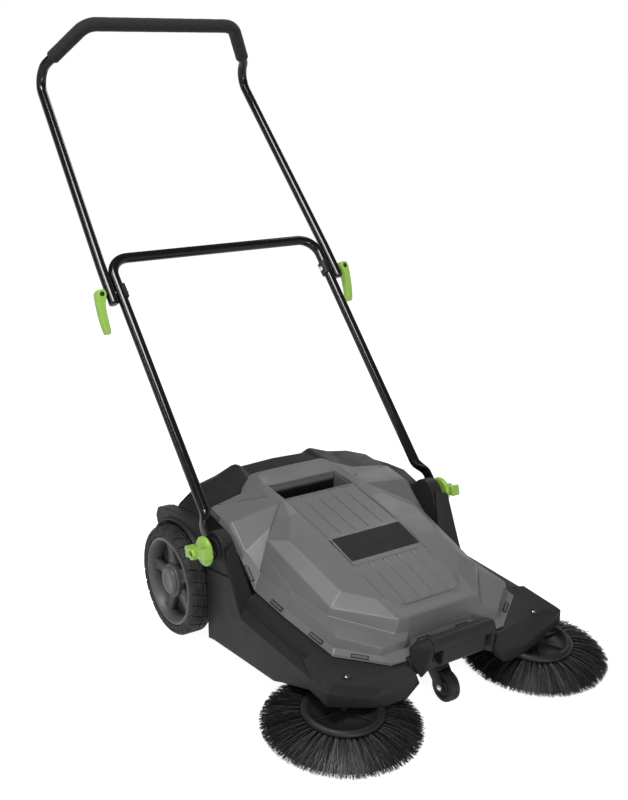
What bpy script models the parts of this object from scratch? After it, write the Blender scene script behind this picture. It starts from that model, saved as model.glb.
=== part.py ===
"""Walk-behind manual sweeper with two side brushes, a main roller and a lift-out hopper.

Metres, +Z up, the machine drives towards -Y. "left" is the -X side and "right" the +X side.
Lengthwise places below are counted from a datum that parts share; ORIGIN_Y then moves the whole
machine so that the middle of its bounding box lies over the origin.
"""
import math

import bmesh
import bpy
from mathutils import Matrix, Vector

# ---------------------------------------------------------------- driving dimensions
ORIGIN_Y = -0.0724
SIDES = (("left", -1), ("right", 1))
GAP = 0.0003                       # gap left between pieces that touch

WHEEL_R = 0.100
WHEEL_SIDES = 40
WHEEL_Y = 0.083
WHEEL_Z = WHEEL_R * math.cos(math.pi / WHEEL_SIDES)
WHEEL_IN, WHEEL_OUT = 0.2240, 0.2664
RIM_R = 0.0815
AXLE_R = 0.0075

GEAR_R, PINION_R = 0.060, 0.012    # pitch radii of the gear inside the wheel and its pinion
PINION_Y = WHEEL_Y - (GEAR_R - PINION_R)
PINION_Z = WHEEL_Z

ROLLER_R, ROLLER_Y, ROLLER_Z, ROLLER_HALF = 0.047, -0.165, 0.049, 0.160
BELT_R, BELT_LANE = 0.0018, 0.197
SMALL_GROOVE_R, SMALL_LOOP_R = 0.0056, 0.0080      # belt pulley on the pinion shaft
LARGE_GROOVE_R, LARGE_LOOP_R = 0.0126, 0.0150      # belt pulley on the brush spindle

BRUSH_X, BRUSH_Y, BRUSH_TIP_Z = 0.2004, -0.368, 0.0176
BRUSH_R, BRUSH_HUB_R, BRUSH_TILT = 0.1296, 0.0653, math.radians(6.4)
BRUSH_AXIS = Vector((0, -math.sin(BRUSH_TILT), math.cos(BRUSH_TILT)))

CASTER_R, CASTER_Y, SWIVEL_Y, CASTER_HALF = 0.026, -0.377, -0.345, 0.010
CASTER_SIDES = 24
CASTER_Z = CASTER_R * math.cos(math.pi / CASTER_SIDES)

TUBE_R, GRIP_R = 0.0097, 0.0135
HANDLE_ANGLE = math.radians(47.54)
PIVOT_Y, PIVOT_Z = -0.045, 0.203   # knob bolts, where the lower handle folds
CLAMP_Y, CLAMP_Z = 0.305, 0.5855   # clamp bolts, where the upper handle folds
LOWER_X, UPPER_X, PIVOT_X = 0.230, 0.2503, 0.2457
LEVER_X, LEVER_LENGTH = 0.2705, 0.074
BOLT_R = 0.003

WALL_X, WALL_REAR_Y = 0.241, -0.0195
PLATE_IN, PLATE_OUT = 0.2105, 0.2135
SHELL = 0.0028

# The hopper lid, as half outlines from the rear centre line round to the front centre line.
FLANGE = [(0, 0.093, 0.262), (0.078, 0.092, 0.261), (0.118, 0.064, 0.249), (0.196, 0.045, 0.240),
          (0.198, -0.020, 0.228), (0.198, -0.070, 0.188), (0.198, -0.108, 0.150),
          (0.198, -0.200, 0.139), (0.193, -0.331, 0.1255), (0.121, -0.391, 0.112),
          (0.082, -0.384, 0.110), (0.070, -0.366, 0.121), (0, -0.371, 0.124)]
SHOULDER = [(0, 0.090, 0.2665), (0.074, 0.089, 0.266), (0.112, 0.060, 0.2535),
            (0.182, 0.038, 0.246), (0.183, -0.022, 0.239), (0.183, -0.066, 0.199),
            (0.182, -0.096, 0.164), (0.178, -0.190, 0.155), (0.173, -0.300, 0.142),
            (0.104, -0.360, 0.131), (0.078, -0.362, 0.131), (0.062, -0.353, 0.134),
            (0, -0.357, 0.136)]
PLATEAU = [(0, 0.086, 0.2675), (0.072, 0.085, 0.267), (0.088, 0.060, 0.262),
           (0.088, 0.015, 0.2555), (0.086, -0.020, 0.250), (0.122, -0.054, 0.232),
           (0.162, -0.090, 0.211), (0.160, -0.180, 0.184), (0.156, -0.267, 0.159),
           (0.078, -0.338, 0.148), (0.062, -0.340, 0.148), (0.052, -0.343, 0.149),
           (0, -0.347, 0.150)]
PANEL_PLAN = [(0, 0.046), (0.050, 0.046), (0.074, 0.046), (0.076, 0.010), (0.077, -0.020),
              (0.077, -0.060), (0.077, -0.110), (0.076, -0.190), (0.074, -0.270),
              (0.070, -0.325), (0.045, -0.331), (0.020, -0.331), (0, -0.331)]
PANEL_SLOPE = [(0.092, 0.266), (0.046, 0.254), (-0.013, 0.247), (-0.153, 0.219),
               (-0.213, 0.201), (-0.335, 0.163)]
PANEL_DEPTH = 0.004
LIP_DROP = 0.012                   # the flange's downturned edge
SLOT_HALF, SLOT_FRONT, SLOT_REAR, SLOT_FLOOR = 0.0705, -0.0115, 0.0455, 0.208

# ---------------------------------------------------------------- scene and materials
for old in list(bpy.data.objects):
    bpy.data.objects.remove(old)

machine = bpy.data.collections.new("walk_behind_sweeper")
cutters = bpy.data.collections.new("cutters")
bpy.context.scene.collection.children.link(machine)
bpy.context.scene.collection.children.link(cutters)
datum = bpy.data.objects.new("datum", None)
datum.location = (0, ORIGIN_Y, 0)
machine.objects.link(datum)


def material(name, colour, roughness, metallic=0.0):
    made = bpy.data.materials.new(name)
    made.use_nodes = True
    shader = made.node_tree.nodes["Principled BSDF"]
    shader.inputs["Base Color"].default_value = (*colour, 1)
    shader.inputs["Roughness"].default_value = roughness
    shader.inputs["Metallic"].default_value = metallic
    return made


GREY = material("grey_plastic", (0.165, 0.165, 0.167), 0.55)
DARK = material("dark_plastic", (0.036, 0.036, 0.038), 0.5)
BLACK = material("black_plastic", (0.017, 0.017, 0.018), 0.5)
LIME = material("lime_plastic", (0.33, 0.69, 0.085), 0.4)
PAINT = material("black_painted_steel", (0.008, 0.008, 0.009), 0.22)
FOAM = material("foam", (0.014, 0.014, 0.015), 0.85)
RUBBER = material("rubber", (0.015, 0.015, 0.015), 0.8)
BRISTLE = material("bristle", (0.012, 0.012, 0.013), 0.6)
STEEL = material("steel", (0.45, 0.45, 0.46), 0.3, 1.0)


# ---------------------------------------------------------------- shape helpers
def add_object(name, data, finish, group=machine):
    made = bpy.data.objects.new(name, data)
    if finish:
        data.materials.append(finish)
    made.parent = datum
    group.objects.link(made)
    return made


def from_bmesh(name, bm, finish, pivot=(0, 0, 0), smooth_deg=30, group=machine):
    """Finish a closed mesh: faces out, smooth to a crease angle, origin at its pivot."""
    bmesh.ops.recalc_face_normals(bm, faces=bm.faces)
    bmesh.ops.translate(bm, verts=bm.verts, vec=-Vector(pivot))
    mesh = bpy.data.meshes.new(name)
    bm.to_mesh(mesh)
    bm.free()
    mesh.shade_smooth()
    mesh.set_sharp_from_angle(angle=math.radians(smooth_deg))
    made = add_object(name, mesh, finish, group)
    made.location = pivot
    return made


def prism(name, outline, low, high, finish, axis="X", pivot=(0, 0, 0), group=machine):
    """A flat outline pushed along X (outline in y, z) or Z (outline in x, y)."""
    place = {"X": lambda u, v: (low, u, v), "Z": lambda u, v: (u, v, low)}[axis]
    push = {"X": (high - low, 0, 0), "Z": (0, 0, high - low)}[axis]
    bm = bmesh.new()
    face = bm.faces.new([bm.verts.new(place(u, v)) for u, v in outline])
    grown = bmesh.ops.extrude_face_region(bm, geom=[face])
    moved = [item for item in grown["geom"] if isinstance(item, bmesh.types.BMVert)]
    bmesh.ops.translate(bm, verts=moved, vec=push)
    return from_bmesh(name, bm, finish, pivot, group=group)


def block(name, low, high, finish, pivot=(0, 0, 0), group=machine):
    outline = [(low[0], low[1]), (high[0], low[1]), (high[0], high[1]), (low[0], high[1])]
    return prism(name, outline, low[2], high[2], finish, "Z", pivot, group)


def turned(name, profile, centre, axis, finish, steps=24, closed=False, group=machine):
    """A profile of (radius, height) turned about an axis; it runs down its outer side."""
    mesh = bpy.data.meshes.new(name)
    count = len(profile)
    edges = [(i, i + 1) for i in range(count - 1)] + ([(count - 1, 0)] if closed else [])
    mesh.from_pydata([(radius, 0, height) for radius, height in profile], edges, [])
    made = add_object(name, mesh, finish, group)
    screw = made.modifiers.new("turn", "SCREW")
    screw.steps = screw.render_steps = steps
    screw.use_merge_vertices = True
    screw.merge_threshold = 0.00001
    half_step = Matrix.Rotation(math.pi / steps, 4, "Z")
    made.matrix_local = (Matrix.Translation(centre)
                         @ Vector(axis).to_track_quat("Z", "Y").to_matrix().to_4x4() @ half_step)
    return made


def cylinder(name, radius, low, high, centre, axis, finish, steps=12, group=machine):
    profile = [(0, high), (radius, high), (radius, low), (0, low)]
    return turned(name, profile, centre, axis, finish, steps, group=group)


def solid_copy(source):
    """Turn an object and its modifiers into a plain mesh, welded where a curve leaves loose caps."""
    bpy.context.view_layer.update()
    evaluated = source.evaluated_get(bpy.context.evaluated_depsgraph_get())
    mesh = bpy.data.meshes.new_from_object(evaluated)
    bm = bmesh.new()
    bm.from_mesh(mesh)
    bmesh.ops.remove_doubles(bm, verts=bm.verts, dist=0.00001)
    bm.to_mesh(mesh)
    bm.free()
    made = bpy.data.objects.new(source.name, mesh)
    made.parent = source.parent
    made.matrix_local = source.matrix_local
    for group in source.users_collection:
        group.objects.link(made)
    name = source.name
    bpy.data.objects.remove(source)
    made.name = name
    return made


def cut(target, tool, operation="DIFFERENCE"):
    """Cut, or join, with a helper object that the finished machine doesn't hold."""
    tool.hide_render = True
    tool.display_type = "WIRE"
    for group in list(tool.users_collection):
        group.objects.unlink(tool)
    cutters.objects.link(tool)
    boolean = target.modifiers.new("cut_" + tool.name, "BOOLEAN")
    boolean.operation = operation
    boolean.solver = "EXACT"
    boolean.object = tool


def drill(target, y, z, radius, low=-0.3, high=0.3):
    """A round hole along X."""
    tool = cylinder(target.name + "_hole", radius, low, high, (0, y, z), (1, 0, 0), None, 10)
    cut(target, tool)


def wire(name, points, radius, finish, cyclic=False, detail=2):
    curve = bpy.data.curves.new(name, "CURVE")
    curve.dimensions = "3D"
    curve.bevel_depth = radius
    curve.bevel_resolution = detail
    curve.use_fill_caps = not cyclic
    spline = curve.splines.new("POLY")
    spline.points.add(len(points) - 1)
    for point, place in zip(spline.points, points):
        point.co = (*place, 1)
    spline.use_cyclic_u = cyclic
    return solid_copy(add_object(name, curve, finish))


def sweep(name, path, finish, pivot, sides=10):
    """A tube along a path of (x, y, z, half width along X-ish, half height across)."""
    across = Vector((0, -math.sin(HANDLE_ANGLE), math.cos(HANDLE_ANGLE)))
    places = [Vector(point[:3]) for point in path]
    bm = bmesh.new()
    rings = []
    for i, point in enumerate(path):
        before = places[max(i - 1, 0)]
        after = places[min(i + 1, len(path) - 1)]
        along = (after - before).normalized()
        wide = across.cross(along).normalized()
        high = along.cross(wide).normalized()
        ring = []
        for k in range(sides):
            angle = 2 * math.pi * (k + 0.5) / sides
            offset = wide * point[3] * math.cos(angle) + high * point[4] * math.sin(angle)
            ring.append(bm.verts.new(places[i] + offset))
        rings.append(ring)
    for first, second in zip(rings, rings[1:]):
        for k in range(sides):
            n = (k + 1) % sides
            bm.faces.new((first[k], first[n], second[n], second[k]))
    bm.faces.new(rings[0])
    bm.faces.new(rings[-1])
    return from_bmesh(name, bm, finish, pivot, 40)


def rounded(points, radius, steps=4):
    """Replace the corners of a route by arcs."""
    route = [Vector(points[0])]
    for before, corner, after in zip(points, points[1:], points[2:]):
        before, corner, after = Vector(before), Vector(corner), Vector(after)
        into, out = (before - corner).normalized(), (after - corner).normalized()
        half = into.angle(out) / 2
        if half > math.radians(89):
            route.append(corner)
            continue
        reach = radius / math.tan(half)
        centre = corner + (into + out).normalized() * (radius / math.sin(half))
        start, end = corner + into * reach - centre, corner + out * reach - centre
        axis, angle = start.rotation_difference(end).to_axis_angle()
        for k in range(steps + 1):
            route.append(centre + Matrix.Rotation(angle * k / steps, 3, axis) @ start)
    route.append(Vector(points[-1]))
    return route


def shell_between(name, rings, finish, thickness, mirrored, group=machine):
    """Skin neighbouring outlines with faces and give the open surface a thickness inwards."""
    bm = bmesh.new()
    rows = []
    for ring in rings:
        rows.append([bm.verts.new(point) for point in ring])
    for outer, inner in zip(rows, rows[1:]):
        for i in range(len(outer) - 1):
            bm.faces.new((outer[i], inner[i], inner[i + 1], outer[i + 1]))
    bmesh.ops.remove_doubles(bm, verts=bm.verts, dist=0.00001)
    mesh = bpy.data.meshes.new(name)
    bm.to_mesh(mesh)
    bm.free()
    made = add_object(name, mesh, finish, group)
    if mirrored:
        mirror = made.modifiers.new("mirror", "MIRROR")
        mirror.use_clip = True
        mirror.merge_threshold = 0.0001
    solidify = made.modifiers.new("thickness", "SOLIDIFY")
    solidify.thickness = thickness
    solidify.offset = -1
    solidify.use_even_offset = True
    return made


def panel_z(y):
    """Height of the lid's middle, read from its slope."""
    for (y0, z0), (y1, z1) in zip(PANEL_SLOPE, PANEL_SLOPE[1:]):
        if y >= y1:
            return z0 + (z1 - z0) * (y - y0) / (y1 - y0)
    return PANEL_SLOPE[-1][1]


def inset(ring, width, rise):
    """The same half outline, moved inwards in plan by a width at each point, and raised."""
    moved = []
    last = len(ring) - 1
    for i, (x, y, z) in enumerate(ring):
        ahead, behind = ring[min(i + 1, last)], ring[max(i - 1, 0)]
        along = Vector((ahead[0] - behind[0], ahead[1] - behind[1])).normalized()
        if i in (0, last):
            along = Vector((1 if i == 0 else -1, 0))
        x_new = max(x + along.y * width[i], 0) if 0 < i < last else 0
        moved.append((x_new, y - along.x * width[i], z + rise))
    return moved


# ---------------------------------------------------------------- hopper
def make_hopper():
    """The grey lid with its hand slot, on the black bin that catches the dirt."""
    flange_width = [0.001, 0.001, 0.001, 0.003, 0.009, 0.009, 0.009, 0.010, 0.011, 0.010, 0.003,
                    0.004, 0.006]
    riser = inset(FLANGE, flange_width, 0.001)
    lip = [(x, y, z - LIP_DROP) for x, y, z in FLANGE]
    rim = [(x, y, panel_z(y)) for x, y in PANEL_PLAN]
    floor = inset(rim, [0.003] * len(rim), -PANEL_DEPTH)
    centre = [(0, y, z) for x, y, z in floor]
    lid = shell_between("hopper_lid", [lip, FLANGE, riser, SHOULDER, PLATEAU, rim, floor, centre],
                        GREY, SHELL, True)
    wall = 0.003
    pocket = [(SLOT_REAR + wall, SLOT_FLOOR - wall), (SLOT_REAR + wall, panel_z(SLOT_REAR) - 0.0055),
              (SLOT_FRONT - wall, panel_z(SLOT_FRONT) - 0.0055), (SLOT_FRONT - wall, SLOT_FLOOR - wall)]
    cut(lid, prism("slot_walls", pocket, -SLOT_HALF - wall, SLOT_HALF + wall, None), "UNION")
    cut(lid, block("slot_space", (-SLOT_HALF, SLOT_FRONT, SLOT_FLOOR),
                   (SLOT_HALF, SLOT_REAR, 0.3), None))

    half, front, rear, base, rim_z, thick = 0.166, -0.098, 0.044, 0.032, 0.140, 0.0025
    tub = block("hopper_tub", (-half, front, base), (half, rear, rim_z), BLACK)
    cut(tub, block("tub_space", (-half + thick, front + thick, base + thick),
                   (half - thick, rear - thick, 0.3), None))
    drill_box = block("tub_mouth", (-half + 0.01, front - 0.01, base + 0.022),
                      (half - 0.01, front + 0.01, rim_z - 0.02), None)
    cut(tub, drill_box)

    for side, sign in SIDES:
        post_x = (half - 0.0075) * sign
        cut(tub, block(f"tub_post_{side}", (post_x - 0.007, 0.020, rim_z - 0.03),
                       (post_x + 0.007, 0.036, 0.2385), None), "UNION")

    front_y, back_y, lift = -0.213, -0.153, PANEL_DEPTH - GAP
    label = [(back_y, panel_z(back_y) - lift), (back_y, panel_z(back_y) - lift + 0.0008),
             (front_y, panel_z(front_y) - lift + 0.0008), (front_y, panel_z(front_y) - lift)]
    prism("label_plate", label, -0.0715, 0.0715, BLACK)


# ---------------------------------------------------------------- chassis
def make_rear_cover():
    """The black hood behind the lid, with two small horns that the lid hooks under."""
    clear = 0.0025
    inner = [(0, 0.093 + clear, 0.2575), (0.080, 0.0925 + clear, 0.2565), (0.121, 0.0655 + clear, 0.2445),
             (0.1995, 0.047 + clear, 0.2345)]
    crest = [(0, 0.150, 0.249), (0.084, 0.150, 0.248), (0.140, 0.147, 0.2465), (0.196, 0.125, 0.243)]
    edge = [(0, 0.166, 0.240), (0.090, 0.165, 0.239), (0.150, 0.160, 0.236), (0.207, 0.128, 0.222)]
    skirt = [(0, 0.192, 0.160), (0.090, 0.191, 0.160), (0.155, 0.188, 0.160), (0.207, 0.182, 0.160)]
    base = [(0, 0.196, 0.045), (0.090, 0.195, 0.045), (0.155, 0.192, 0.045), (0.207, 0.188, 0.045)]
    shell = shell_between("rear_cover", [base, skirt, edge, crest, inner], BLACK, SHELL, True)
    for side, sign in SIDES:
        horn = [(0.136, 0.244), (0.166, 0.236), (0.160, 0.256), (0.152, 0.267), (0.146, 0.267)]
        cut(shell, prism(f"horn_{side}", horn, sign * 0.072, sign * 0.096, None), "UNION")


def make_side(side, sign):
    """One side: the inner plate, outer housing, wheel arch, bracket and brush pod."""
    plate = [(-0.205, 0.040), (0.185, 0.040), (0.178, 0.160), (0.118, 0.2195), (0.040, 0.2195),
             (-0.010, 0.205), (-0.036, 0.160), (-0.048, 0.122), (-0.090, 0.110),
             (-0.205, 0.104)]
    inner = prism(f"frame_plate_{side}", plate, sign * PLATE_IN, sign * PLATE_OUT, BLACK)
    drill(inner, PINION_Y, PINION_Z, 0.0085)
    drill(inner, ROLLER_Y, ROLLER_Z + 0.012, 0.0065)

    wall = [[(0.2170, WALL_REAR_Y, 0.168), (0.2170, -0.070, 0.1495), (0.203, -0.105, 0.128),
             (0.203, -0.200, 0.1235), (0.2025, -0.300, 0.111)],
            [(WALL_X, WALL_REAR_Y, 0.166), (WALL_X, -0.105, 0.136), (WALL_X, -0.136, 0.111),
             (WALL_X, -0.236, 0.105), (WALL_X, -0.300, 0.100)],
            [(WALL_X, WALL_REAR_Y, 0.026), (WALL_X, -0.040, 0.030), (WALL_X, -0.136, 0.0365),
             (WALL_X, -0.236, 0.043), (WALL_X, -0.288, 0.073)]]
    rings = [[(sign * x, y, z) for x, y, z in ring] for ring in wall]
    if sign > 0:
        rings.reverse()
    shell_between(f"side_housing_{side}", rings, DARK, SHELL, False)

    arch_r, arch_steps = 0.106, 8
    arch = [(WHEEL_Y + arch_r * math.cos(math.radians(a)), WHEEL_Z + arch_r * math.sin(math.radians(a)))
            for a in (142 - k * 105 / arch_steps for k in range(arch_steps + 1))]
    arch += [(0.173, 0.176), (0.166, 0.206), (0.140, 0.2165), (0.040, 0.2225), (-0.002, 0.192)]
    prism(f"wheel_arch_{side}", arch, sign * (PLATE_OUT + GAP), sign * 0.2445, DARK)

    boss_r, steps = 0.030, 10
    boss = [(PIVOT_Y + boss_r * math.cos(a), PIVOT_Z + boss_r * math.sin(a))
            for a in (math.radians(-20 + 185 * k / steps) for k in range(steps + 1))]
    boss += [(-0.100, 0.150), (-0.092, 0.1435), (-0.0195, 0.1715)]
    bracket = prism(f"handle_bracket_{side}", boss, sign * (PLATE_OUT + 0.0015), sign * 0.2375, DARK)
    drill(bracket, PIVOT_Y, PIVOT_Z, BOLT_R + 0.0004)

    top = [(0.204, -0.302, 0.107), (WALL_X - 0.004, -0.304, 0.094), (0.243, -0.341, 0.096),
           (0.244, -0.387, 0.096), (0.150, -0.402, 0.073), (0.112, -0.410, 0.075), (0.076, -0.400, 0.078),
           (0.090, -0.385, 0.094), (0.123, -0.388, 0.0975), (0.196, -0.334, 0.111)]
    low = [(0.2045, -0.302, 0.078), (WALL_X - 0.004, -0.304, 0.076), (0.2425, -0.341, 0.074),
           (0.243, -0.390, 0.073), (0.150, -0.404, 0.057), (0.108, -0.410, 0.057), (0.084, -0.400, 0.062),
           (0.094, -0.382, 0.066), (0.126, -0.372, 0.066), (0.186, -0.334, 0.072)]
    bm = bmesh.new()
    for x, y, z in top + low:
        bm.verts.new((sign * x, y, z))
    bmesh.ops.convex_hull(bm, input=bm.verts)
    spare = [vert for vert in bm.verts if not vert.link_faces]
    bmesh.ops.delete(bm, geom=spare, context="VERTS")
    pod = from_bmesh(f"brush_pod_{side}", bm, DARK)
    cut(pod, cylinder(f"screw_well_{side}", 0.0062, 0.0985, 0.13, (sign * 0.198, -0.378, 0),
                      (0, 0, 1), None))
    cut(pod, cylinder(f"pulley_space_{side}", 0.0180, 0.020, 0.068, brush_point(sign, 0.0),
                      BRUSH_AXIS, None, 28))
    cut(pod, block(f"belt_space_{side}", (sign * BRUSH_X - 0.0178, -0.3745, 0.03),
                   (sign * BRUSH_X + 0.0178, -0.25, 0.0855), None))
    cylinder(f"pod_screw_{side}", 0.0058, 0.0985 + GAP, 0.1035, (sign * 0.198, -0.378, 0),
             (0, 0, 1), STEEL, 12)


def make_front():
    """Front fascia, lifting bar, caster mount and the hood over the roller."""
    fascia = [(-0.3690, 0.070), (-0.3800, 0.070), (-0.392, 0.086), (-0.396, 0.110), (-0.3770, 0.1105)]
    front = prism("front_fascia", fascia, -0.0675, 0.0675, DARK)
    route = rounded([(-0.058, -0.388, 0.106), (-0.070, -0.412, 0.131), (0.070, -0.412, 0.131),
                     (0.058, -0.388, 0.106)], 0.012, 3)
    bar = sweep("lifting_bar", [(*place, 0.0085, 0.0085) for place in route], None, (0, 0, 0))
    cut(front, bar, "UNION")
    block("caster_mount", (-0.030, -0.3675, 0.0700), (0.030, -0.318, 0.082), BLACK)
    hood_r, steps = 0.056, 10
    hood = [(ROLLER_Y + hood_r * math.cos(a), ROLLER_Z + hood_r * math.sin(a))
            for a in (math.radians(12 + 156 * k / steps) for k in range(steps + 1))]
    hood += [(ROLLER_Y + (hood_r + 0.003) * math.cos(a), ROLLER_Z + (hood_r + 0.003) * math.sin(a))
             for a in (math.radians(168 - 156 * k / steps) for k in range(steps + 1))]
    prism("roller_hood", hood, -0.1645, 0.1645, BLACK)
    block("cross_beam", (-0.180, -0.298, 0.082), (0.180, -0.262, 0.096), BLACK)
    block("dust_lip", (-0.1715, -0.104, 0.006), (0.1715, -0.101, 0.080), RUBBER)


# ---------------------------------------------------------------- wheels and drive
def make_wheel(side, sign):
    """Tyre, spoked rim with its internal gear, hub cap, stub axle and the pinion on its shaft."""
    centre = (sign * WHEEL_IN, WHEEL_Y, WHEEL_Z)
    out = (sign, 0, 0)
    width = WHEEL_OUT - WHEEL_IN
    tyre = [(WHEEL_R, width - 0.004), (WHEEL_R, 0.004), (WHEEL_R - 0.005, 0), (RIM_R + GAP, 0),
            (RIM_R + GAP, width - 0.001), (WHEEL_R - 0.006, width)]
    turned(f"tyre_{side}", tyre, centre, out, RUBBER, WHEEL_SIDES, True)

    web, gear_out, gear_in, gear_low = 0.017, GEAR_R + 0.0052, GEAR_R + 0.0012, 0.005
    rim = [(RIM_R, width - 0.002), (RIM_R, 0.001), (RIM_R - 0.004, 0.001), (RIM_R - 0.004, 0.014),
           (gear_out, 0.014), (gear_out, gear_low), (gear_in, gear_low), (gear_in, web),
           (0.0285, web), (0.0285, 0.003), (0.0095, 0.003), (0.0095, width - 0.006),
           (0.0285, width - 0.006), (0.0285, 0.026), (RIM_R - 0.010, 0.026), (RIM_R - 0.006, width - 0.002)]
    wheel = turned(f"wheel_rim_{side}", rim, centre, out, GREY, 32, True)
    inner_r, outer_r, spokes, half_spoke = 0.031, RIM_R - 0.0115, 5, 0.0085
    for k in range(spokes):
        first = 2 * math.pi * k / spokes + math.radians(4)
        last = first + 2 * math.pi / spokes
        outline = []
        for radius, order in ((outer_r, 1), (inner_r, -1)):
            lean = math.asin(half_spoke / radius)
            arc = [first + lean + (last - first - 2 * lean) * n / 3 for n in range(4)][::order]
            outline += [(WHEEL_Y + radius * math.cos(a), WHEEL_Z + radius * math.sin(a)) for a in arc]
        cut(wheel, prism(f"window_{side}_{k}", outline, sign * (WHEEL_IN + web - 0.0018),
                         sign * (WHEEL_OUT + 0.01), None))

    cap = [(0, width + 0.0005), (0.018, width), (0.0255, width - 0.003), (0.0265, width - 0.006 + GAP),
           (0, width - 0.006 + GAP)]
    turned(f"hub_cap_{side}", cap, centre, out, GREY, 24)
    cylinder(f"stub_axle_{side}", AXLE_R, PLATE_OUT + GAP - WHEEL_IN, width - 0.0105, centre, out, STEEL)

    shaft = [(0, WHEEL_IN + web - 0.002), (PINION_R - GAP, WHEEL_IN + web - 0.002),
             (PINION_R - GAP, WHEEL_IN + gear_low + 0.001), (0.0048, WHEEL_IN + gear_low + 0.001),
             (0.0048, 0.2030), (0.0105, 0.2030), (0.0105, 0.2000), (SMALL_GROOVE_R, 0.1998),
             (SMALL_GROOVE_R, 0.1942), (0.0105, 0.1940), (0.0105, 0.1910), (0.0048, 0.1910),
             (0.0048, 0.189), (0.0120, 0.189), (0.0120, 0.173), (0, 0.173)]
    turned(f"pinion_shaft_{side}", shaft, (0, PINION_Y, PINION_Z), out, STEEL, 16)


# ---------------------------------------------------------------- brushes
def brush_point(sign, height):
    """A point on a side brush's axis, at a height above the plane of its bristle tips."""
    return Vector((sign * BRUSH_X, BRUSH_Y, BRUSH_TIP_Z)) + BRUSH_AXIS * height


def make_side_brush(side, sign):
    centre = brush_point(sign, 0.0)
    bristle = [(0.0598, 0.0236), (BRUSH_R - 0.002, 0.0045), (BRUSH_R, 0), (BRUSH_R - 0.012, 0),
               (0.050, 0.012), (0.046, 0.0185), (0.046, 0.0200), (0.0535, 0.0200)]
    turned(f"side_bristles_{side}", bristle, centre, BRUSH_AXIS, BRISTLE, 28, True)
    hub = [(0, 0.0305), (0.016, 0.0305), (0.020, 0.0265), (0.048, 0.0265), (0.054, 0.034),
           (0.060, 0.034), (BRUSH_HUB_R, 0.0285), (0.0535, 0.0203), (0, 0.0203)]
    turned(f"side_brush_hub_{side}", hub, centre, BRUSH_AXIS, BLACK, 24)
    spindle = [(0, 0.0655), (0.0050, 0.0655), (0.0050, 0.0630), (0.0160, 0.0630), (0.0160, 0.0595),
               (LARGE_GROOVE_R, 0.0590), (LARGE_GROOVE_R, 0.0530), (0.0160, 0.0525),
               (0.0160, 0.0490), (0.0060, 0.0490), (0.0060, 0.0305 + GAP), (0, 0.0305 + GAP)]
    turned(f"brush_spindle_{side}", spindle, centre, BRUSH_AXIS, STEEL, 14)
    pulley = brush_point(sign, 0.056)
    forward = Vector((0, -math.cos(BRUSH_TILT), -math.sin(BRUSH_TILT)))
    drive = Vector((sign * BELT_LANE, PINION_Y, PINION_Z))
    steps = 12
    loop = []
    for k in range(steps + 1):
        angle = math.pi * k / steps
        loop.append(pulley + Vector((sign, 0, 0)) * LARGE_LOOP_R * math.cos(angle)
                    + forward * LARGE_LOOP_R * math.sin(angle))
    for k in range(steps + 1):
        angle = -math.pi / 2 + math.pi * k / steps
        loop.append(drive + SMALL_LOOP_R * Vector((0, math.cos(angle), math.sin(angle))))
    wire(f"side_belt_{side}", loop, BELT_R, RUBBER, True, 2)


def make_roller():
    centre = (0, ROLLER_Y, ROLLER_Z)
    half = ROLLER_HALF
    strips, tip_half, root_half = 10, math.radians(7), math.radians(11)
    outline = []
    for k in range(strips):
        middle = 2 * math.pi * (k + 0.5) / strips
        for angle, radius in ((-root_half, 0.0245), (-tip_half, ROLLER_R), (tip_half, ROLLER_R),
                              (root_half, 0.0245)):
            outline.append((ROLLER_Y + radius * math.sin(middle + angle),
                            ROLLER_Z + radius * math.cos(middle + angle)))
    bristles = prism("roller_bristles", outline, -half, half, BRISTLE, pivot=centre)
    bore = cylinder("roller_bore", 0.0205 + GAP, -0.3, 0.3, centre, (1, 0, 0), None, 20)
    cut(bristles, bore)
    core = [(0, 0.2085), (0.0048, 0.2085), (0.0048, half + 0.003), (0.0205, half + 0.003),
            (0.0205, -half - 0.003), (0.0048, -half - 0.003), (0.0048, -0.173), (0.0120, -0.173),
            (0.0120, -0.189), (0.0048, -0.189), (0.0048, -0.2085), (0, -0.2085)]
    turned("roller_core", core, centre, (1, 0, 0), BLACK, 16)
    for side, sign in SIDES:
        post = [(ROLLER_Y - 0.012, ROLLER_Z - 0.009), (ROLLER_Y + 0.012, ROLLER_Z - 0.009),
                (ROLLER_Y + 0.012, ROLLER_Z + 0.021), (ROLLER_Y - 0.012, ROLLER_Z + 0.021)]
        bearing = prism(f"roller_bearing_{side}", post, sign * 0.1995, sign * (PLATE_IN - GAP), BLACK)
        drill(bearing, ROLLER_Y, ROLLER_Z, 0.0048 + GAP)


def make_roller_belt():
    """A flat belt round the left pinion shaft and the roller's drum, on its inner lane."""
    radius, thick, low, high = 0.0120 + GAP, 0.0018, -0.188, -0.174
    a, b = Vector((PINION_Y, PINION_Z)), Vector((ROLLER_Y, ROLLER_Z))
    lean = math.atan2(a.y - b.y, a.x - b.x)
    loops = []
    for grown in (radius, radius + thick):
        points = []
        for centre, start in ((a, lean - math.pi / 2), (b, lean + math.pi / 2)):
            for k in range(9):
                angle = start + math.pi * k / 8
                points.append((centre.x + grown * math.cos(angle), centre.y + grown * math.sin(angle)))
        loops.append(points)
    belt = prism("roller_belt", loops[1], low, high, RUBBER)
    cut(belt, prism("belt_space", loops[0], low - 0.01, high + 0.01, None))


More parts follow.
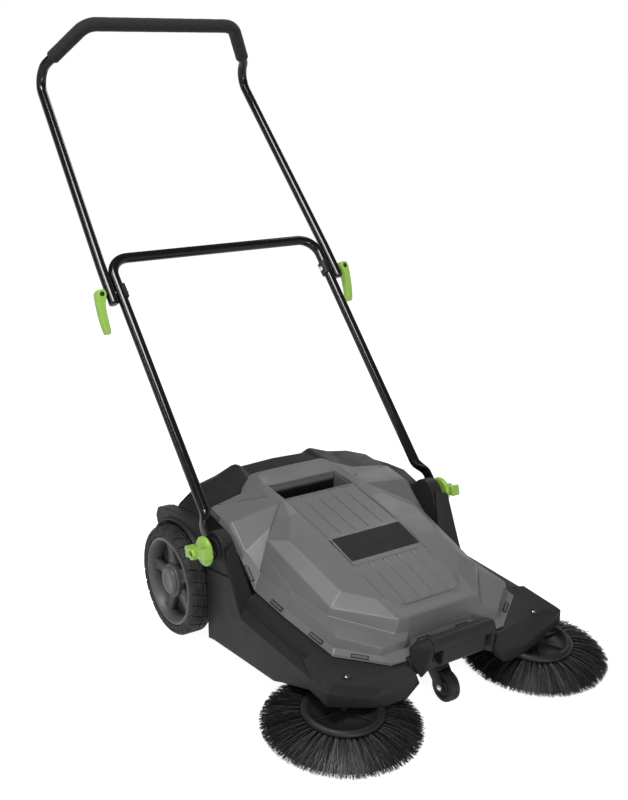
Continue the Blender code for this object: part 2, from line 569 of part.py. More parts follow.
# ---------------------------------------------------------------- caster
def make_caster():
    swivel = (0, SWIVEL_Y, 0.0)
    cheek = 0.003
    inside = CASTER_HALF + 0.001
    profile = [(CASTER_Y - 0.008, CASTER_Z - 0.004), (CASTER_Y - 0.004, CASTER_Z - 0.008),
               (CASTER_Y + 0.006, CASTER_Z - 0.008), (SWIVEL_Y + 0.012, 0.056), (SWIVEL_Y + 0.012, 0.064),
               (SWIVEL_Y - 0.016, 0.064), (CASTER_Y - 0.008, CASTER_Z + 0.006)]
    fork = prism("caster_fork", profile, -inside - cheek, inside + cheek, BLACK, pivot=swivel)
    cut(fork, cylinder("fork_space", CASTER_R + 0.0025, -inside, inside, (0, CASTER_Y, CASTER_Z),
                       (1, 0, 0), None, 24))
    drill(fork, CASTER_Y, CASTER_Z, 0.0035)
    cut(fork, cylinder("swivel_stud", 0.012, 0.060, 0.0697, swivel, (0, 0, 1), None), "UNION")
    tread = [(CASTER_R, CASTER_HALF - 0.002), (CASTER_R, -CASTER_HALF + 0.002),
             (CASTER_R - 0.002, -CASTER_HALF), (0.0036, -CASTER_HALF), (0.0036, CASTER_HALF),
             (CASTER_R - 0.002, CASTER_HALF)]
    turned("caster_wheel", tread, (0, CASTER_Y, CASTER_Z), (1, 0, 0), RUBBER, CASTER_SIDES, True)
    reach = inside + cheek + GAP
    bolt = [(0, reach + 0.002), (0.0050, reach + 0.002), (0.0065, reach), (0.0032, reach),
            (0.0032, -reach), (0.0065, -reach), (0.0050, -reach - 0.002), (0, -reach - 0.002)]
    turned("caster_axle_bolt", bolt, (0, CASTER_Y, CASTER_Z), (1, 0, 0), STEEL, 16)


# ---------------------------------------------------------------- handle
def along_handle(y0, z0, distance):
    return y0 + distance * math.cos(HANDLE_ANGLE), z0 + distance * math.sin(HANDLE_ANGLE)


def make_handle():
    cross_y, cross_z = 0.354, 0.639
    half_route = []
    for distance, x, thin, wide in ((-0.016, PIVOT_X, 0.0028, 0.0100), (-0.011, PIVOT_X, 0.0030, 0.0125),
                                    (0.012, PIVOT_X, 0.0030, 0.0125), (0.034, PIVOT_X - 0.001, 0.0042, 0.0118),
                                    (0.058, LOWER_X + 0.006, TUBE_R, TUBE_R), (0.085, LOWER_X, TUBE_R, TUBE_R)):
        y, z = along_handle(PIVOT_Y, PIVOT_Z, distance)
        half_route.append((x, y, z, thin, wide))
    end = (LOWER_X, *along_handle(PIVOT_Y, PIVOT_Z, 0.15))
    corner = (LOWER_X, cross_y, cross_z)
    bend = rounded([end, corner, (0, cross_y, cross_z)], 0.038, 5)
    right = half_route + [(*place, TUBE_R, TUBE_R) for place in bend[:-1]]
    left = [(-point[0], *point[1:]) for point in reversed(right)]
    lower = sweep("lower_handle", right + left, PAINT, (0, PIVOT_Y, PIVOT_Z))
    drill(lower, PIVOT_Y, PIVOT_Z, BOLT_R + GAP)
    drill(lower, CLAMP_Y, CLAMP_Z, BOLT_R + GAP)

    bend_x, bend_y, bend_z = 0.2312, 0.6475, 0.961
    grip_x, grip_y, grip_z = 0.225, 0.616, 0.988
    bar_x, bar_y, bar_z = 0.163, 0.552, 1.0624
    low_y, low_z = along_handle(CLAMP_Y, CLAMP_Z, -0.022)
    mid_y, mid_z = along_handle(CLAMP_Y, CLAMP_Z, 0.05)
    side_route = [(UPPER_X, low_y, low_z), (UPPER_X - 0.001, mid_y, mid_z)]
    slanted = [(bend_x, bend_y, bend_z), (grip_x, grip_y, grip_z), (bar_x, bar_y, bar_z)]
    right_part = side_route + slanted
    corners = right_part + [(-x, y, z) for x, y, z in reversed(right_part)]
    smooth = rounded(corners[1:-1], 0.038, 4)
    route = [Vector(corners[0])] + smooth + [Vector(corners[-1])]
    upper = sweep("upper_handle", [(*place, TUBE_R, TUBE_R) for place in route], PAINT,
                  (0, CLAMP_Y, CLAMP_Z))
    drill(upper, CLAMP_Y, CLAMP_Z, BOLT_R + GAP)
    grip_route = [Vector((0.2162, 0.6069, 0.9986))]
    grip_route += rounded([grip_route[0], *corners[4:-4], Vector((-0.2162, 0.6069, 0.9986))], 0.038, 4)[1:]
    sleeve = sweep("foam_grip", [(*place, GRIP_R, GRIP_R) for place in grip_route], FOAM,
                   (0, CLAMP_Y, CLAMP_Z))
    bore_r = TUBE_R + 3 * GAP
    bore = sweep("grip_bore", [(*place, bore_r, bore_r)
                               for place in [grip_route[0] + Vector((0.0075, 0.0077, -0.0090))]
                               + grip_route[1:-1] + [grip_route[-1] + Vector((-0.0075, 0.0077, -0.0090))]],
                 None, (0, CLAMP_Y, CLAMP_Z))
    cut(sleeve, bore)


def make_clamp(side, sign):
    """Saddle between the tubes, clamp bolt and cam lever."""
    turn = Matrix.Rotation(HANDLE_ANGLE, 4, "X")
    centre = Vector((0, CLAMP_Y, CLAMP_Z))

    def slanted(name, low, high, finish, pivot=(0, 0, 0)):
        made = block(name, low, high, finish)
        made.data.transform(Matrix.Translation(-Vector(pivot)) @ Matrix.Translation(centre) @ turn)
        made.location = pivot
        return made

    saddle = slanted(f"clamp_saddle_{side}", (sign * 0.2165, -0.026, -0.0145),
                     (sign * 0.2395, 0.024, 0.0145), BLACK, (0, CLAMP_Y, CLAMP_Z))
    cut(saddle, cylinder(f"tube_space_{side}", TUBE_R + 2 * GAP, -0.06, 0.06,
                         (sign * LOWER_X, CLAMP_Y, CLAMP_Z),
                         (0, math.cos(HANDLE_ANGLE), math.sin(HANDLE_ANGLE)), None, 24))
    drill(saddle, CLAMP_Y, CLAMP_Z, BOLT_R + GAP)
    bolt = [(0, 0.2690), (BOLT_R, 0.2690), (BOLT_R, 0.2162), (0.0060, 0.2162), (0.0060, 0.2120), (0, 0.2120)]
    steel = turned(f"clamp_bolt_{side}", bolt, (0, CLAMP_Y, CLAMP_Z), (sign, 0, 0), STEEL, 16)

    down = Vector((0, -0.342, -0.940))
    axis = Vector((0, -0.940, 0.342))
    pivot = Vector((sign * LEVER_X, CLAMP_Y, CLAMP_Z))
    outline = [(-0.0040, 0.0090), (0.0020, 0.0098), (0.0070, 0.0070), (0.0090, -0.0030), (0.0100, -0.0150),
               (0.0085, -0.045), (0.0035, -LEVER_LENGTH), (-0.0015, -LEVER_LENGTH), (0.0020, -0.045),
               (0.0030, -0.0180), (-0.0040, -0.0100)]
    bm = bmesh.new()
    face = bm.faces.new([bm.verts.new(pivot + Vector((sign * u, 0, 0)) - down * v - axis * 0.0105)
                         for u, v in outline])
    grown = bmesh.ops.extrude_face_region(bm, geom=[face])
    moved = [item for item in grown["geom"] if isinstance(item, bmesh.types.BMVert)]
    bmesh.ops.translate(bm, verts=moved, vec=axis * 0.021)
    lever = from_bmesh(f"cam_lever_{side}", bm, LIME, pivot, 40)
    cut(lever, cylinder(f"barrel_space_{side}", 0.0044 + GAP, -0.007, 0.007, pivot, axis, None, 16))
    upright = Matrix((Vector((1, 0, 0)), -axis, -down)).transposed().to_4x4()
    fork = block(f"fork_gap_{side}", (-0.02, -0.0038, -0.0050), (0.02, 0.0038, 0.02), None)
    fork.matrix_local = Matrix.Translation(pivot) @ upright
    cut(lever, fork)
    cut(steel, cylinder(f"cam_barrel_{side}", 0.0044, -0.0066, 0.0066, pivot, axis, None), "UNION")


def make_knob(side, sign):
    centre = (0, PIVOT_Y, PIVOT_Z)
    disc = [(0, 0.2620), (0.0235, 0.2620), (0.0262, 0.2590), (0.0262, 0.2550), (0.0235, 0.2525),
            (BOLT_R, 0.2525), (BOLT_R, 0.2155), (0, 0.2155)]
    knob = turned(f"wing_knob_{side}", disc, centre, (sign, 0, 0), LIME, 20)
    lean = math.radians(14)
    wing = []
    for u, v in ((-0.034, -0.0075), (-0.030, -0.0105), (0.030, -0.0105), (0.034, -0.0075),
                 (0.034, 0.0075), (0.030, 0.0105), (-0.030, 0.0105), (-0.034, 0.0075)):
        wing.append((PIVOT_Y + u * math.cos(lean) - v * math.sin(lean),
                     PIVOT_Z + u * math.sin(lean) + v * math.cos(lean)))
    cut(knob, prism(f"wings_{side}", wing, sign * 0.2600, sign * 0.2770, None), "UNION")
    cut(knob, cylinder(f"hub_{side}", 0.0110, 0.2600, 0.2900, centre, (sign, 0, 0), None, 14), "UNION")
    cut(knob, cylinder(f"hub_hole_{side}", 0.0058, 0.2700, 0.3000, centre, (sign, 0, 0), None, 10))


make_hopper()
make_rear_cover()
make_front()
make_roller()
make_roller_belt()
make_caster()
make_handle()
for side_name, side_sign in SIDES:
    make_side(side_name, side_sign)
    make_wheel(side_name, side_sign)
    make_side_brush(side_name, side_sign)
    make_clamp(side_name, side_sign)
    make_knob(side_name, side_sign)
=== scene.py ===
"""Looks of the walk-behind sweeper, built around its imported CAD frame.

Lengths are metres, and millimetres inside mm(). Pieces are modelled in the machine's own datum,
whose origin lies ORIGIN_Y along the frame's y axis: x to the right seen from behind the brushes,
-y forwards, z up.
"""
import math
import random

import bmesh
import bpy
from mathutils import Matrix, Vector


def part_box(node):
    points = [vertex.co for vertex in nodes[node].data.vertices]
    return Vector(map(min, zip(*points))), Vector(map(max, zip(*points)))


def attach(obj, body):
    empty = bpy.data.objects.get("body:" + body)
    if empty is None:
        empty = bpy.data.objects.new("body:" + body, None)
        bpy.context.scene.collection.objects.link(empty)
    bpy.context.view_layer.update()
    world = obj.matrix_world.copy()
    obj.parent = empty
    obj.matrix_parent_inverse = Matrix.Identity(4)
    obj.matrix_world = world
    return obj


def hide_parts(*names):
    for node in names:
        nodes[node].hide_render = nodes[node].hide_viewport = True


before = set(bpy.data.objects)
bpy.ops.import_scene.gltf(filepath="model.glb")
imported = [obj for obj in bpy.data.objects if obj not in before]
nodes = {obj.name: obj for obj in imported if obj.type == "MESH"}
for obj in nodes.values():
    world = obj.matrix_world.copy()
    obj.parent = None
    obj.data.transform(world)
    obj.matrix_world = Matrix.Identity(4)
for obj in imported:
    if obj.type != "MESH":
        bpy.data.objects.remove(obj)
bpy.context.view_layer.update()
SIDES = (("left", -1), ("right", 1))


def mm(value):
    """Millimetres in nested lists, given in metres."""
    if isinstance(value, dict):
        return {key: mm(item) for key, item in value.items()}
    return [mm(item) for item in value] if isinstance(value, (list, tuple)) else value / 1000


def middle(node):
    low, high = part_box(node)
    return (low + high) / 2


WHEEL_Y, WHEEL_R = 0.083, 0.0996
WHEEL_Z = middle("tyre_right").z
ORIGIN_Y = middle("tyre_right").y - WHEEL_Y
WHEEL_IN, WHEEL_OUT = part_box("tyre_right")[0].x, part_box("tyre_right")[1].x
RIM_R = 0.0815

BRUSH_R, BRUSH_TILT = 0.1296, math.radians(6.4)
BRUSH_X, BRUSH_Y, BRUSH_TIP_Z = 0.2004, -0.368, 0.0176
BRUSH_AXIS = Vector((0, -math.sin(BRUSH_TILT), math.cos(BRUSH_TILT)))

TUBE_R, GRIP_R = 0.0097, 0.0135
HANDLE_ANGLE = math.radians(47.54)
PIVOT_Y, PIVOT_Z = -0.045, 0.203
CLAMP_Y, CLAMP_Z = 0.305, 0.5855
LOWER_X, UPPER_X, PIVOT_X = 0.23, 0.2503, 0.2457
LEVER_X = 0.2705


# ---------------------------------------------------------------- camera, light and floor
def make_camera():
    data = bpy.data.cameras.new("camera")
    data.lens, data.sensor_width = 52.62, 36
    camera = bpy.data.objects.new("camera", data)
    camera.location = (-1.1175, -1.7306, 1.0085)
    camera.rotation_euler = (math.radians(90 - 16.516), 0, math.radians(-33.865))
    bpy.context.scene.collection.objects.link(camera)
    bpy.context.scene.camera = camera


def make_light(name, place, target, size, power):
    data = bpy.data.lights.new(name, "AREA")
    data.shape, data.size, data.size_y, data.energy = "RECTANGLE", size[0], size[1], power
    lamp = bpy.data.objects.new(name, data)
    lamp.location = place
    lamp.rotation_euler = (Vector(target) - Vector(place)).to_track_quat("-Z", "Y").to_euler()
    bpy.context.scene.collection.objects.link(lamp)


def make_world():
    """Soft grey surroundings, white near the horizon."""
    world = bpy.data.worlds.new("studio")
    world.use_nodes = True
    tree = world.node_tree
    place = tree.nodes.new("ShaderNodeTexCoord").outputs["Generated"]
    split = tree.nodes.new("ShaderNodeSeparateXYZ")
    ramp = tree.nodes.new("ShaderNodeValToRGB")
    tree.links.new(place, split.inputs["Vector"])
    tree.links.new(split.outputs["Z"], ramp.inputs["Fac"])
    ramp.color_ramp.elements[0].position, ramp.color_ramp.elements[0].color = 0.1, (1, 1, 1, 1)
    ramp.color_ramp.elements[1].position, ramp.color_ramp.elements[1].color = 0.26, (0.22, 0.22, 0.22, 1)
    tree.links.new(ramp.outputs["Color"], tree.nodes["Background"].inputs["Color"])
    bpy.context.scene.world = world
    bpy.context.scene.view_settings.view_transform = "Standard"


def make_studio():
    make_world()
    make_light("key", (-1.0, -0.5, 2.9), (0, 0, 0.2), (1.0, 1.0), 118)
    make_light("front_strip", (-1.9, -2.6, 1.7), (0, 0, 0.4), (0.1, 1.8), 22)
    make_light("left_strip", (-2.4, 0.2, 2.2), (0, 0, 0.5), (0.1, 2.0), 14)
    make_light("front_fill", (-0.5, -2.9, 0.8), (0, 0, 0.15), (0.7, 0.7), 46)
    make_light("rim", (1.9, 1.4, 2.0), (0, 0, 0.3), (0.3, 1.6), 14)
    bm = bmesh.new()
    bmesh.ops.create_grid(bm, x_segments=1, y_segments=1, size=60)
    mesh = bpy.data.meshes.new("floor")
    bm.to_mesh(mesh)
    bm.free()
    floor = bpy.data.objects.new("floor", mesh)
    floor.location.z = -0.0004
    bpy.context.scene.collection.objects.link(floor)
    white = bpy.data.materials.new("floor_white")
    white.use_nodes = True
    shader = white.node_tree.nodes["Principled BSDF"]
    shader.inputs["Base Color"].default_value = (0.3, 0.3, 0.3, 1)
    shader.inputs["Roughness"].default_value = 0.95
    shader.inputs["Specular IOR Level"].default_value = 0.0
    shader.inputs["Emission Color"].default_value = (1, 1, 1, 1)
    shader.inputs["Emission Strength"].default_value = 0.93
    mesh.materials.append(white)


# ---------------------------------------------------------------- materials
class Finish:
    """A Principled material whose colour, roughness and bump come from a few nodes."""

    def __init__(self, name, metallic=0.0, specular=0.5, sheen=0.0):
        self.material = bpy.data.materials.new(name)
        self.material.use_nodes = True
        self.tree = self.material.node_tree
        self.shader = self.tree.nodes["Principled BSDF"]
        for key, value in (("Metallic", metallic), ("Specular IOR Level", specular), ("Sheen Weight", sheen)):
            self.shader.inputs[key].default_value = value
        self.place = self.tree.nodes.new("ShaderNodeTexCoord").outputs["Object"]
        self.last_normal = None

    def node(self, kind, **values):
        made = self.tree.nodes.new(kind)
        for key, value in values.items():
            made.inputs[key.replace("_", " ")].default_value = value
        return made

    def noise(self, scale, detail=3.0, roughness=0.55):
        node = self.node("ShaderNodeTexNoise", Scale=scale, Detail=detail, Roughness=roughness)
        self.tree.links.new(self.place, node.inputs["Vector"])
        return node.outputs["Fac"]

    def cells(self, scale):
        node = self.node("ShaderNodeTexVoronoi", Scale=scale)
        self.tree.links.new(self.place, node.inputs["Vector"])
        return node.outputs["Distance"]

    def colour(self, factor, stops):
        node = self.node("ShaderNodeValToRGB")
        ramp = node.color_ramp
        while len(ramp.elements) < len(stops):
            ramp.elements.new(0.5)
        for element, (place, colour) in zip(ramp.elements, stops):
            element.position, element.color = place, (*colour, 1)
        self.tree.links.new(factor, node.inputs["Fac"])
        self.tree.links.new(node.outputs["Color"], self.shader.inputs["Base Color"])

    def rough(self, factor, low, high):
        node = self.node("ShaderNodeMapRange", From_Min=0.3, From_Max=0.7, To_Min=low, To_Max=high)
        self.tree.links.new(factor, node.inputs["Value"])
        self.tree.links.new(node.outputs["Result"], self.shader.inputs["Roughness"])

    def bump(self, height, strength, distance):
        node = self.node("ShaderNodeBump", Strength=strength, Distance=distance)
        self.tree.links.new(height, node.inputs["Height"])
        if self.last_normal:
            self.tree.links.new(self.last_normal, node.inputs["Normal"])
        self.last_normal = node.outputs["Normal"]
        self.tree.links.new(self.last_normal, self.shader.inputs["Normal"])


def shades(colour, spread):
    """Darker, plain and lighter stops of one colour."""
    return [(0.32, tuple(v * (1 - spread) for v in colour)), (0.5, colour),
            (0.68, tuple(v * (1 + spread) for v in colour))]


def surface(name, stops, mottle, gloss, bumps=(), **shader):
    """Mottled colour, uneven gloss and bumps made from noise (scale, detail) or cells (scale,)."""
    finish = Finish(name, **shader)
    finish.colour(finish.noise(*mottle), stops)
    finish.rough(finish.noise(*gloss[0]), *gloss[1:])
    for height, strength, distance in bumps:
        finish.bump(finish.noise(*height) if len(height) > 1 else finish.cells(*height), strength, distance)
    return finish.material


def moulding(name, colour, low_rough, high_rough, gloss=0.2, grain=0.35, spread=0.05):
    """Moulded plastic with a spark-eroded grain, slight flow mottling and uneven gloss."""
    return surface(name, shades(colour, spread), (9, 4), ((26, 5, 0.6), low_rough, high_rough),
                   [((1150, 2, 0.6), grain, 0.00022), ((60, 2), 0.05, 0.0006)], specular=gloss)


def bristle(name, colour, gloss):
    return surface(name, shades(colour, 0.55), (310, 3, 0.7), ((260, 2), gloss, gloss + 0.2), specular=0.25)


make_camera()
make_studio()
GREY = moulding("grey_moulding", (0.06, 0.06, 0.061), 0.4, 0.54, 0.34)
# The same grey plastic made darker for the wheel rims, hub covers and snap tongues: painted shade
SHADED_GREY = moulding("grey_moulding_painted_shade", (0.04, 0.04, 0.041), 0.4, 0.54, 0.3)
DARK = moulding("dark_moulding", (0.0115, 0.0115, 0.012), 0.42, 0.54, 0.08)
BLACK = moulding("black_moulding", (0.005, 0.005, 0.0053), 0.42, 0.58, spread=0.12)
LIME = moulding("lime_moulding", (0.134, 0.245, 0.03), 0.3, 0.42, 0.4, grain=0.12, spread=0.04)
PAINT = surface("black_paint", shades((0.0024, 0.0024, 0.0026), 0.2), (14, 3), ((38, 4), 0.13, 0.19),
                specular=0.22)
FOAM = surface("foam_black", shades((0.0085, 0.0085, 0.0092), 0.35), (420, 4), ((80, 3), 0.86, 0.97),
               [((950,), 0.3, 0.0003), ((160, 3), 0.08, 0.0005)], specular=0.15, sheen=0.05)
TYRE = surface("tyre_black", [(0.3, (0.006, 0.006, 0.0063)), (0.55, (0.011, 0.011, 0.0113)),
                              (0.75, (0.021, 0.021, 0.0205))],
               (55, 5, 0.65), ((70, 4), 0.58, 0.82), [((700, 3), 0.3, 0.0003)], specular=0.2)
RUBBER = surface("belt_black", shades((0.016, 0.016, 0.016), 0.3), (40, 4), ((90, 3), 0.6, 0.8),
                 [((500, 2), 0.2, 0.0003)], specular=0.3)
ZINC = surface("zinc_steel", shades((0.52, 0.52, 0.53), 0.16), (120, 5, 0.7), ((190, 4), 0.26, 0.42),
               [((900, 2), 0.12, 0.0002)], metallic=1.0)
BRISTLE = bristle("bristle_black", (0.0085, 0.0085, 0.0088), 0.34)
# Lighter copy of the bristle material: a painted highlight, sprinkled at random over the strands
BRISTLE_HIGHLIT = bristle("bristle_painted_highlight", (0.04, 0.04, 0.041), 0.3)
LABEL = surface("label_film", shades((0.0105, 0.0105, 0.011), 0.12), (30, 3), ((90, 3), 0.42, 0.5),
                specular=0.04)

SLOTS = {GREY: "grey_plastic", SHADED_GREY: "grey_plastic", DARK: "dark_plastic", BLACK: "black_plastic",
         LIME: "lime_plastic", PAINT: "black_tube", FOAM: "foam", TYRE: "tyre_rubber", ZINC: "zinc_steel",
         BRISTLE: "bristle", LABEL: "black_plastic"}


# ---------------------------------------------------------------- mesh tools
def shade(mesh, angle):
    mesh.shade_smooth()
    mesh.set_sharp_from_angle(angle=math.radians(angle))


def add(name, bm, material, body, stands_for=(), angle=35, slot=None):
    """Turn a bmesh in the machine's datum into a piece that rides on a body."""
    bmesh.ops.recalc_face_normals(bm, faces=bm.faces)
    mesh = bpy.data.meshes.new(name)
    bm.to_mesh(mesh)
    bm.free()
    used = material if isinstance(material, list) else [material]
    for item in used:
        mesh.materials.append(item)
    shade(mesh, angle)
    made = bpy.data.objects.new(name, mesh)
    made.location = (0, ORIGIN_Y, 0)
    bpy.context.scene.collection.objects.link(made)
    slot = slot or SLOTS[used[0]]
    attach(made, body)
    if stands_for:
        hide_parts(*stands_for)
    return made


def bevel(made, width, segments=2, angle=28, clamp=True):
    edge = made.modifiers.new("edges", "BEVEL")
    edge.width, edge.segments = width, segments
    edge.limit_method, edge.angle_limit = "ANGLE", math.radians(angle)
    edge.use_clamp_overlap = clamp
    edge.harden_normals = True
    return made


def even(made):
    """Shade flat faces flat and the rounded edges between them smooth."""
    normals = made.modifiers.new("even", "WEIGHTED_NORMAL")
    normals.mode, normals.weight, normals.keep_sharp = "FACE_AREA", 100, False


def dress_node(name, material, width=0.0, segments=2):
    """Give a CAD node its material and, where it has moulded edges, a small round."""
    made = nodes[name]
    made.data.materials.clear()
    made.data.materials.append(material)
    shade(made.data, 32)
    if width:
        weld = made.modifiers.new("weld", "WELD")
        weld.merge_threshold = 0.00002
        planar = made.modifiers.new("planar", "DECIMATE")
        planar.decimate_type, planar.angle_limit = "DISSOLVE", math.radians(1.0)
        bevel(made, width, segments, 35)


def polar(radius, angle):
    return radius * math.cos(angle), radius * math.sin(angle)


def ring_faces(bm, first, second):
    """Skin two rings of vertices, of which one may be a single point."""
    count = max(len(first), len(second))
    for k in range(count):
        n = (k + 1) % count
        pairs = ((first, k), (first, n), (second, n), (second, k))
        corners = list(dict.fromkeys(ring[i % len(ring)] for ring, i in pairs))
        if len(corners) > 2:
            bm.faces.new(corners)


def loft(bm, rings):
    """Skin a run of rings and close both its ends."""
    for first, second in zip(rings, rings[1:]):
        ring_faces(bm, first, second)
    bm.faces.new(rings[0])
    bm.faces.new(rings[-1])


def turned(bm, profile, centre, axis, steps=64, closed=False):
    """Add a solid of revolution: the profile is (radius, height) along the axis."""
    axis = Vector(axis).normalized()
    turn = axis.to_track_quat("Z", "Y").to_matrix()
    rings = []
    for radius, height in profile:
        angles = [2 * math.pi * k / steps for k in range(steps)] if radius > 0 else [0]
        places = (Vector((*polar(radius, a), height)) for a in angles)
        rings.append([bm.verts.new(Vector(centre) + turn @ place) for place in places])
    for first, second in zip(rings, rings[1:] + (rings[:1] if closed else [])):
        ring_faces(bm, first, second)


def prism(bm, outline, low, high):
    """Add a solid between x = low and x = high from an outline of (y, z)."""
    ends = [[bm.verts.new((x, y, z)) for y, z in outline] for x in (low, high)]
    for end in ends:
        bm.faces.new(end)
    ring_faces(bm, *ends)


def box(bm, low, high, turn=None, centre=(0, 0, 0)):
    """Add a box, turned about a centre by a matrix."""
    made = bmesh.ops.create_cube(bm, size=1)["verts"]
    size = Vector(high) - Vector(low)
    for vert in made:
        place = Vector(low) + Vector((vert.co.x + 0.5, vert.co.y + 0.5, vert.co.z + 0.5)) * size
        vert.co = Vector(centre) + turn @ place if turn else place


def rounded(points, radius, steps=10):
    """Replace the corners of a route by arcs."""
    route = [Vector(points[0])]
    for before, corner, after in zip(points, points[1:], points[2:]):
        before, corner, after = Vector(before), Vector(corner), Vector(after)
        into, out = (before - corner).normalized(), (after - corner).normalized()
        half = into.angle(out) / 2
        if half > math.radians(89):
            route.append(corner)
            continue
        reach = radius / math.tan(half)
        centre = corner + (into + out).normalized() * (radius / math.sin(half))
        start, end = corner + into * reach - centre, corner + out * reach - centre
        axis, angle = start.rotation_difference(end).to_axis_angle()
        for k in range(steps + 1):
            route.append(centre + Matrix.Rotation(angle * k / steps, 3, axis) @ start)
    route.append(Vector(points[-1]))
    return route


def sweep(bm, path, across, sides=28):
    """Add a tube along (place, half width, half height); across fixes which way the width lies."""
    rings = []
    for i, (place, wide_r, high_r) in enumerate(path):
        before, after = path[max(i - 1, 0)][0], path[min(i + 1, len(path) - 1)][0]
        along = (after - before).normalized()
        wide = across.cross(along).normalized()
        high = along.cross(wide).normalized()
        rings.append([bm.verts.new(place + wide * wide_r * math.cos(a) + high * high_r * math.sin(a))
                      for a in (2 * math.pi * k / sides for k in range(sides))])
    loft(bm, rings)


def mirrored_x(bm):
    """Add the mirror image in x = 0 and weld the middle."""
    copy = bmesh.ops.duplicate(bm, geom=bm.verts[:] + bm.edges[:] + bm.faces[:])["geom"]
    verts = [item for item in copy if isinstance(item, bmesh.types.BMVert)]
    faces = [item for item in copy if isinstance(item, bmesh.types.BMFace)]
    for vert in verts:
        vert.co.x = -vert.co.x
    bmesh.ops.reverse_faces(bm, faces=faces)
    bmesh.ops.remove_doubles(bm, verts=bm.verts, dist=0.00001)


# ---------------------------------------------------------------- hopper
# Half outlines of the lid, from the rear centre line round to the front centre line.
UNDER = mm([(0, 102, 250), (78.5, 102.5, 248), (95, 106, 239), (128, 58, 233.5), (199, 44, 229),
            (200, -20, 217), (200, -69, 179), (198, -107, 138.5), (197, -200, 127.5), (190, -328, 113.5),
            (116.5, -382.5, 100), (83, -384, 100), (70, -369, 110), (0, -371, 112)])
LIP = mm([(0, 100.5, 262), (76.5, 101, 260), (92.5, 104, 251), (126, 56.5, 245.5), (195.5, 42, 239.5),
          (196, -20, 227.5), (195, -68, 188), (190, -100.5, 149.5), (188, -192, 138.5),
          (181, -318.5, 121.5), (122.5, -362, 108), (72.5, -368, 112.5), (64, -362, 122),
          (0, -360, 123.5)])
SHOULDER = mm([(0, 92.5, 265.5), (73.5, 93, 264.5), (87, 98.5, 255.5), (119, 54, 249.5),
               (187, 38.5, 243.5), (190, -21.5, 233), (190, -67, 194), (179, -95.5, 163),
               (177.7, -187, 153.6), (176, -319.4, 140), (121, -362.5, 122.8), (76, -366, 125.2),
               (63.2, -359, 130), (0, -358, 129)])
FOOT = mm([(0, 90, 266.2), (71.2, 90.5, 265.5), (81.5, 86, 261), (94, 52, 256), (95, 16, 251),
           (95, -21, 245), (131, -56, 223), (169, -91.5, 195), (168, -180, 158), (158.4, -268, 149),
           (90, -355, 135.5), (66, -359, 133), (62.5, -358, 134.5), (0, -357.5, 133.5)])
PLATEAU = mm([(0, 86, 266.4), (69, 86, 266), (77.5, 76, 265), (86, 50, 260), (88, 15, 255.5),
              (88, -20, 250), (123, -54, 233), (160, -86.5, 215), (156.5, -180, 187), (153, -268, 161),
              (81.8, -354, 156.8), (62, -354.3, 156.9), (54, -354.4, 157), (0, -354.5, 157.2)])
CREASE = mm([(0, 66, 261), (60, 66, 260.8), (70, 62, 260), (80, 47, 257.5), (82, 12.5, 252.5),
             (82, -20, 248.2), (100, -66, 237.5), (137, -122, 221.5), (131, -190, 200.5),
             (127, -258, 180), (85, -300, 172), (60, -334, 162.5), (40, -339, 161.2), (0, -340, 161)])
PANEL_PLAN = mm([(0, 46), (50, 46), (62, 46), (73.5, 46), (75.5, 10), (76.5, -20), (77, -60), (77, -110),
                 (76.5, -190), (75, -250), (73.5, -300), (67, -322), (50, -331), (0, -331)])
PANEL_SLOPE = mm([(92, 266), (46, 254), (-13, 247), (-153, 219), (-213, 201), (-335, 163)])
RECESS = 0.0034
SLOT_HALF, SLOT_FRONT, SLOT_REAR, SLOT_FLOOR = 0.0705, -0.0115, 0.0455, 0.208
STRIPS, STRIP_RISE, GROOVE = 5, 0.0034, 0.003
REAR_STRIPS, FRONT_STRIPS = (-0.016, -0.143), (-0.223, -0.322)
LABEL_REAR, LABEL_FRONT, LABEL_HALF = -0.153, -0.213, 0.0715


def panel_z(y):
    """Height of the lid's middle, read from its slope."""
    for (y0, z0), (y1, z1) in zip(PANEL_SLOPE, PANEL_SLOPE[1:]):
        if y >= y1:
            return z0 + (z1 - z0) * (y - y0) / (y1 - y0)
    return PANEL_SLOPE[-1][1]


def shrunk(ring, width, rise):
    """The same half outline moved inwards in plan and raised."""
    moved, last = [], len(ring) - 1
    for i, (x, y, z) in enumerate(ring):
        ahead, behind = ring[min(i + 1, last)], ring[max(i - 1, 0)]
        along = Vector((ahead[0] - behind[0], ahead[1] - behind[1])).normalized()
        if i in (0, last):
            along = Vector((1 if i == 0 else -1, 0))
        moved.append((x + along.y * width if 0 < i < last else 0, y - along.x * width, z + rise))
    return moved


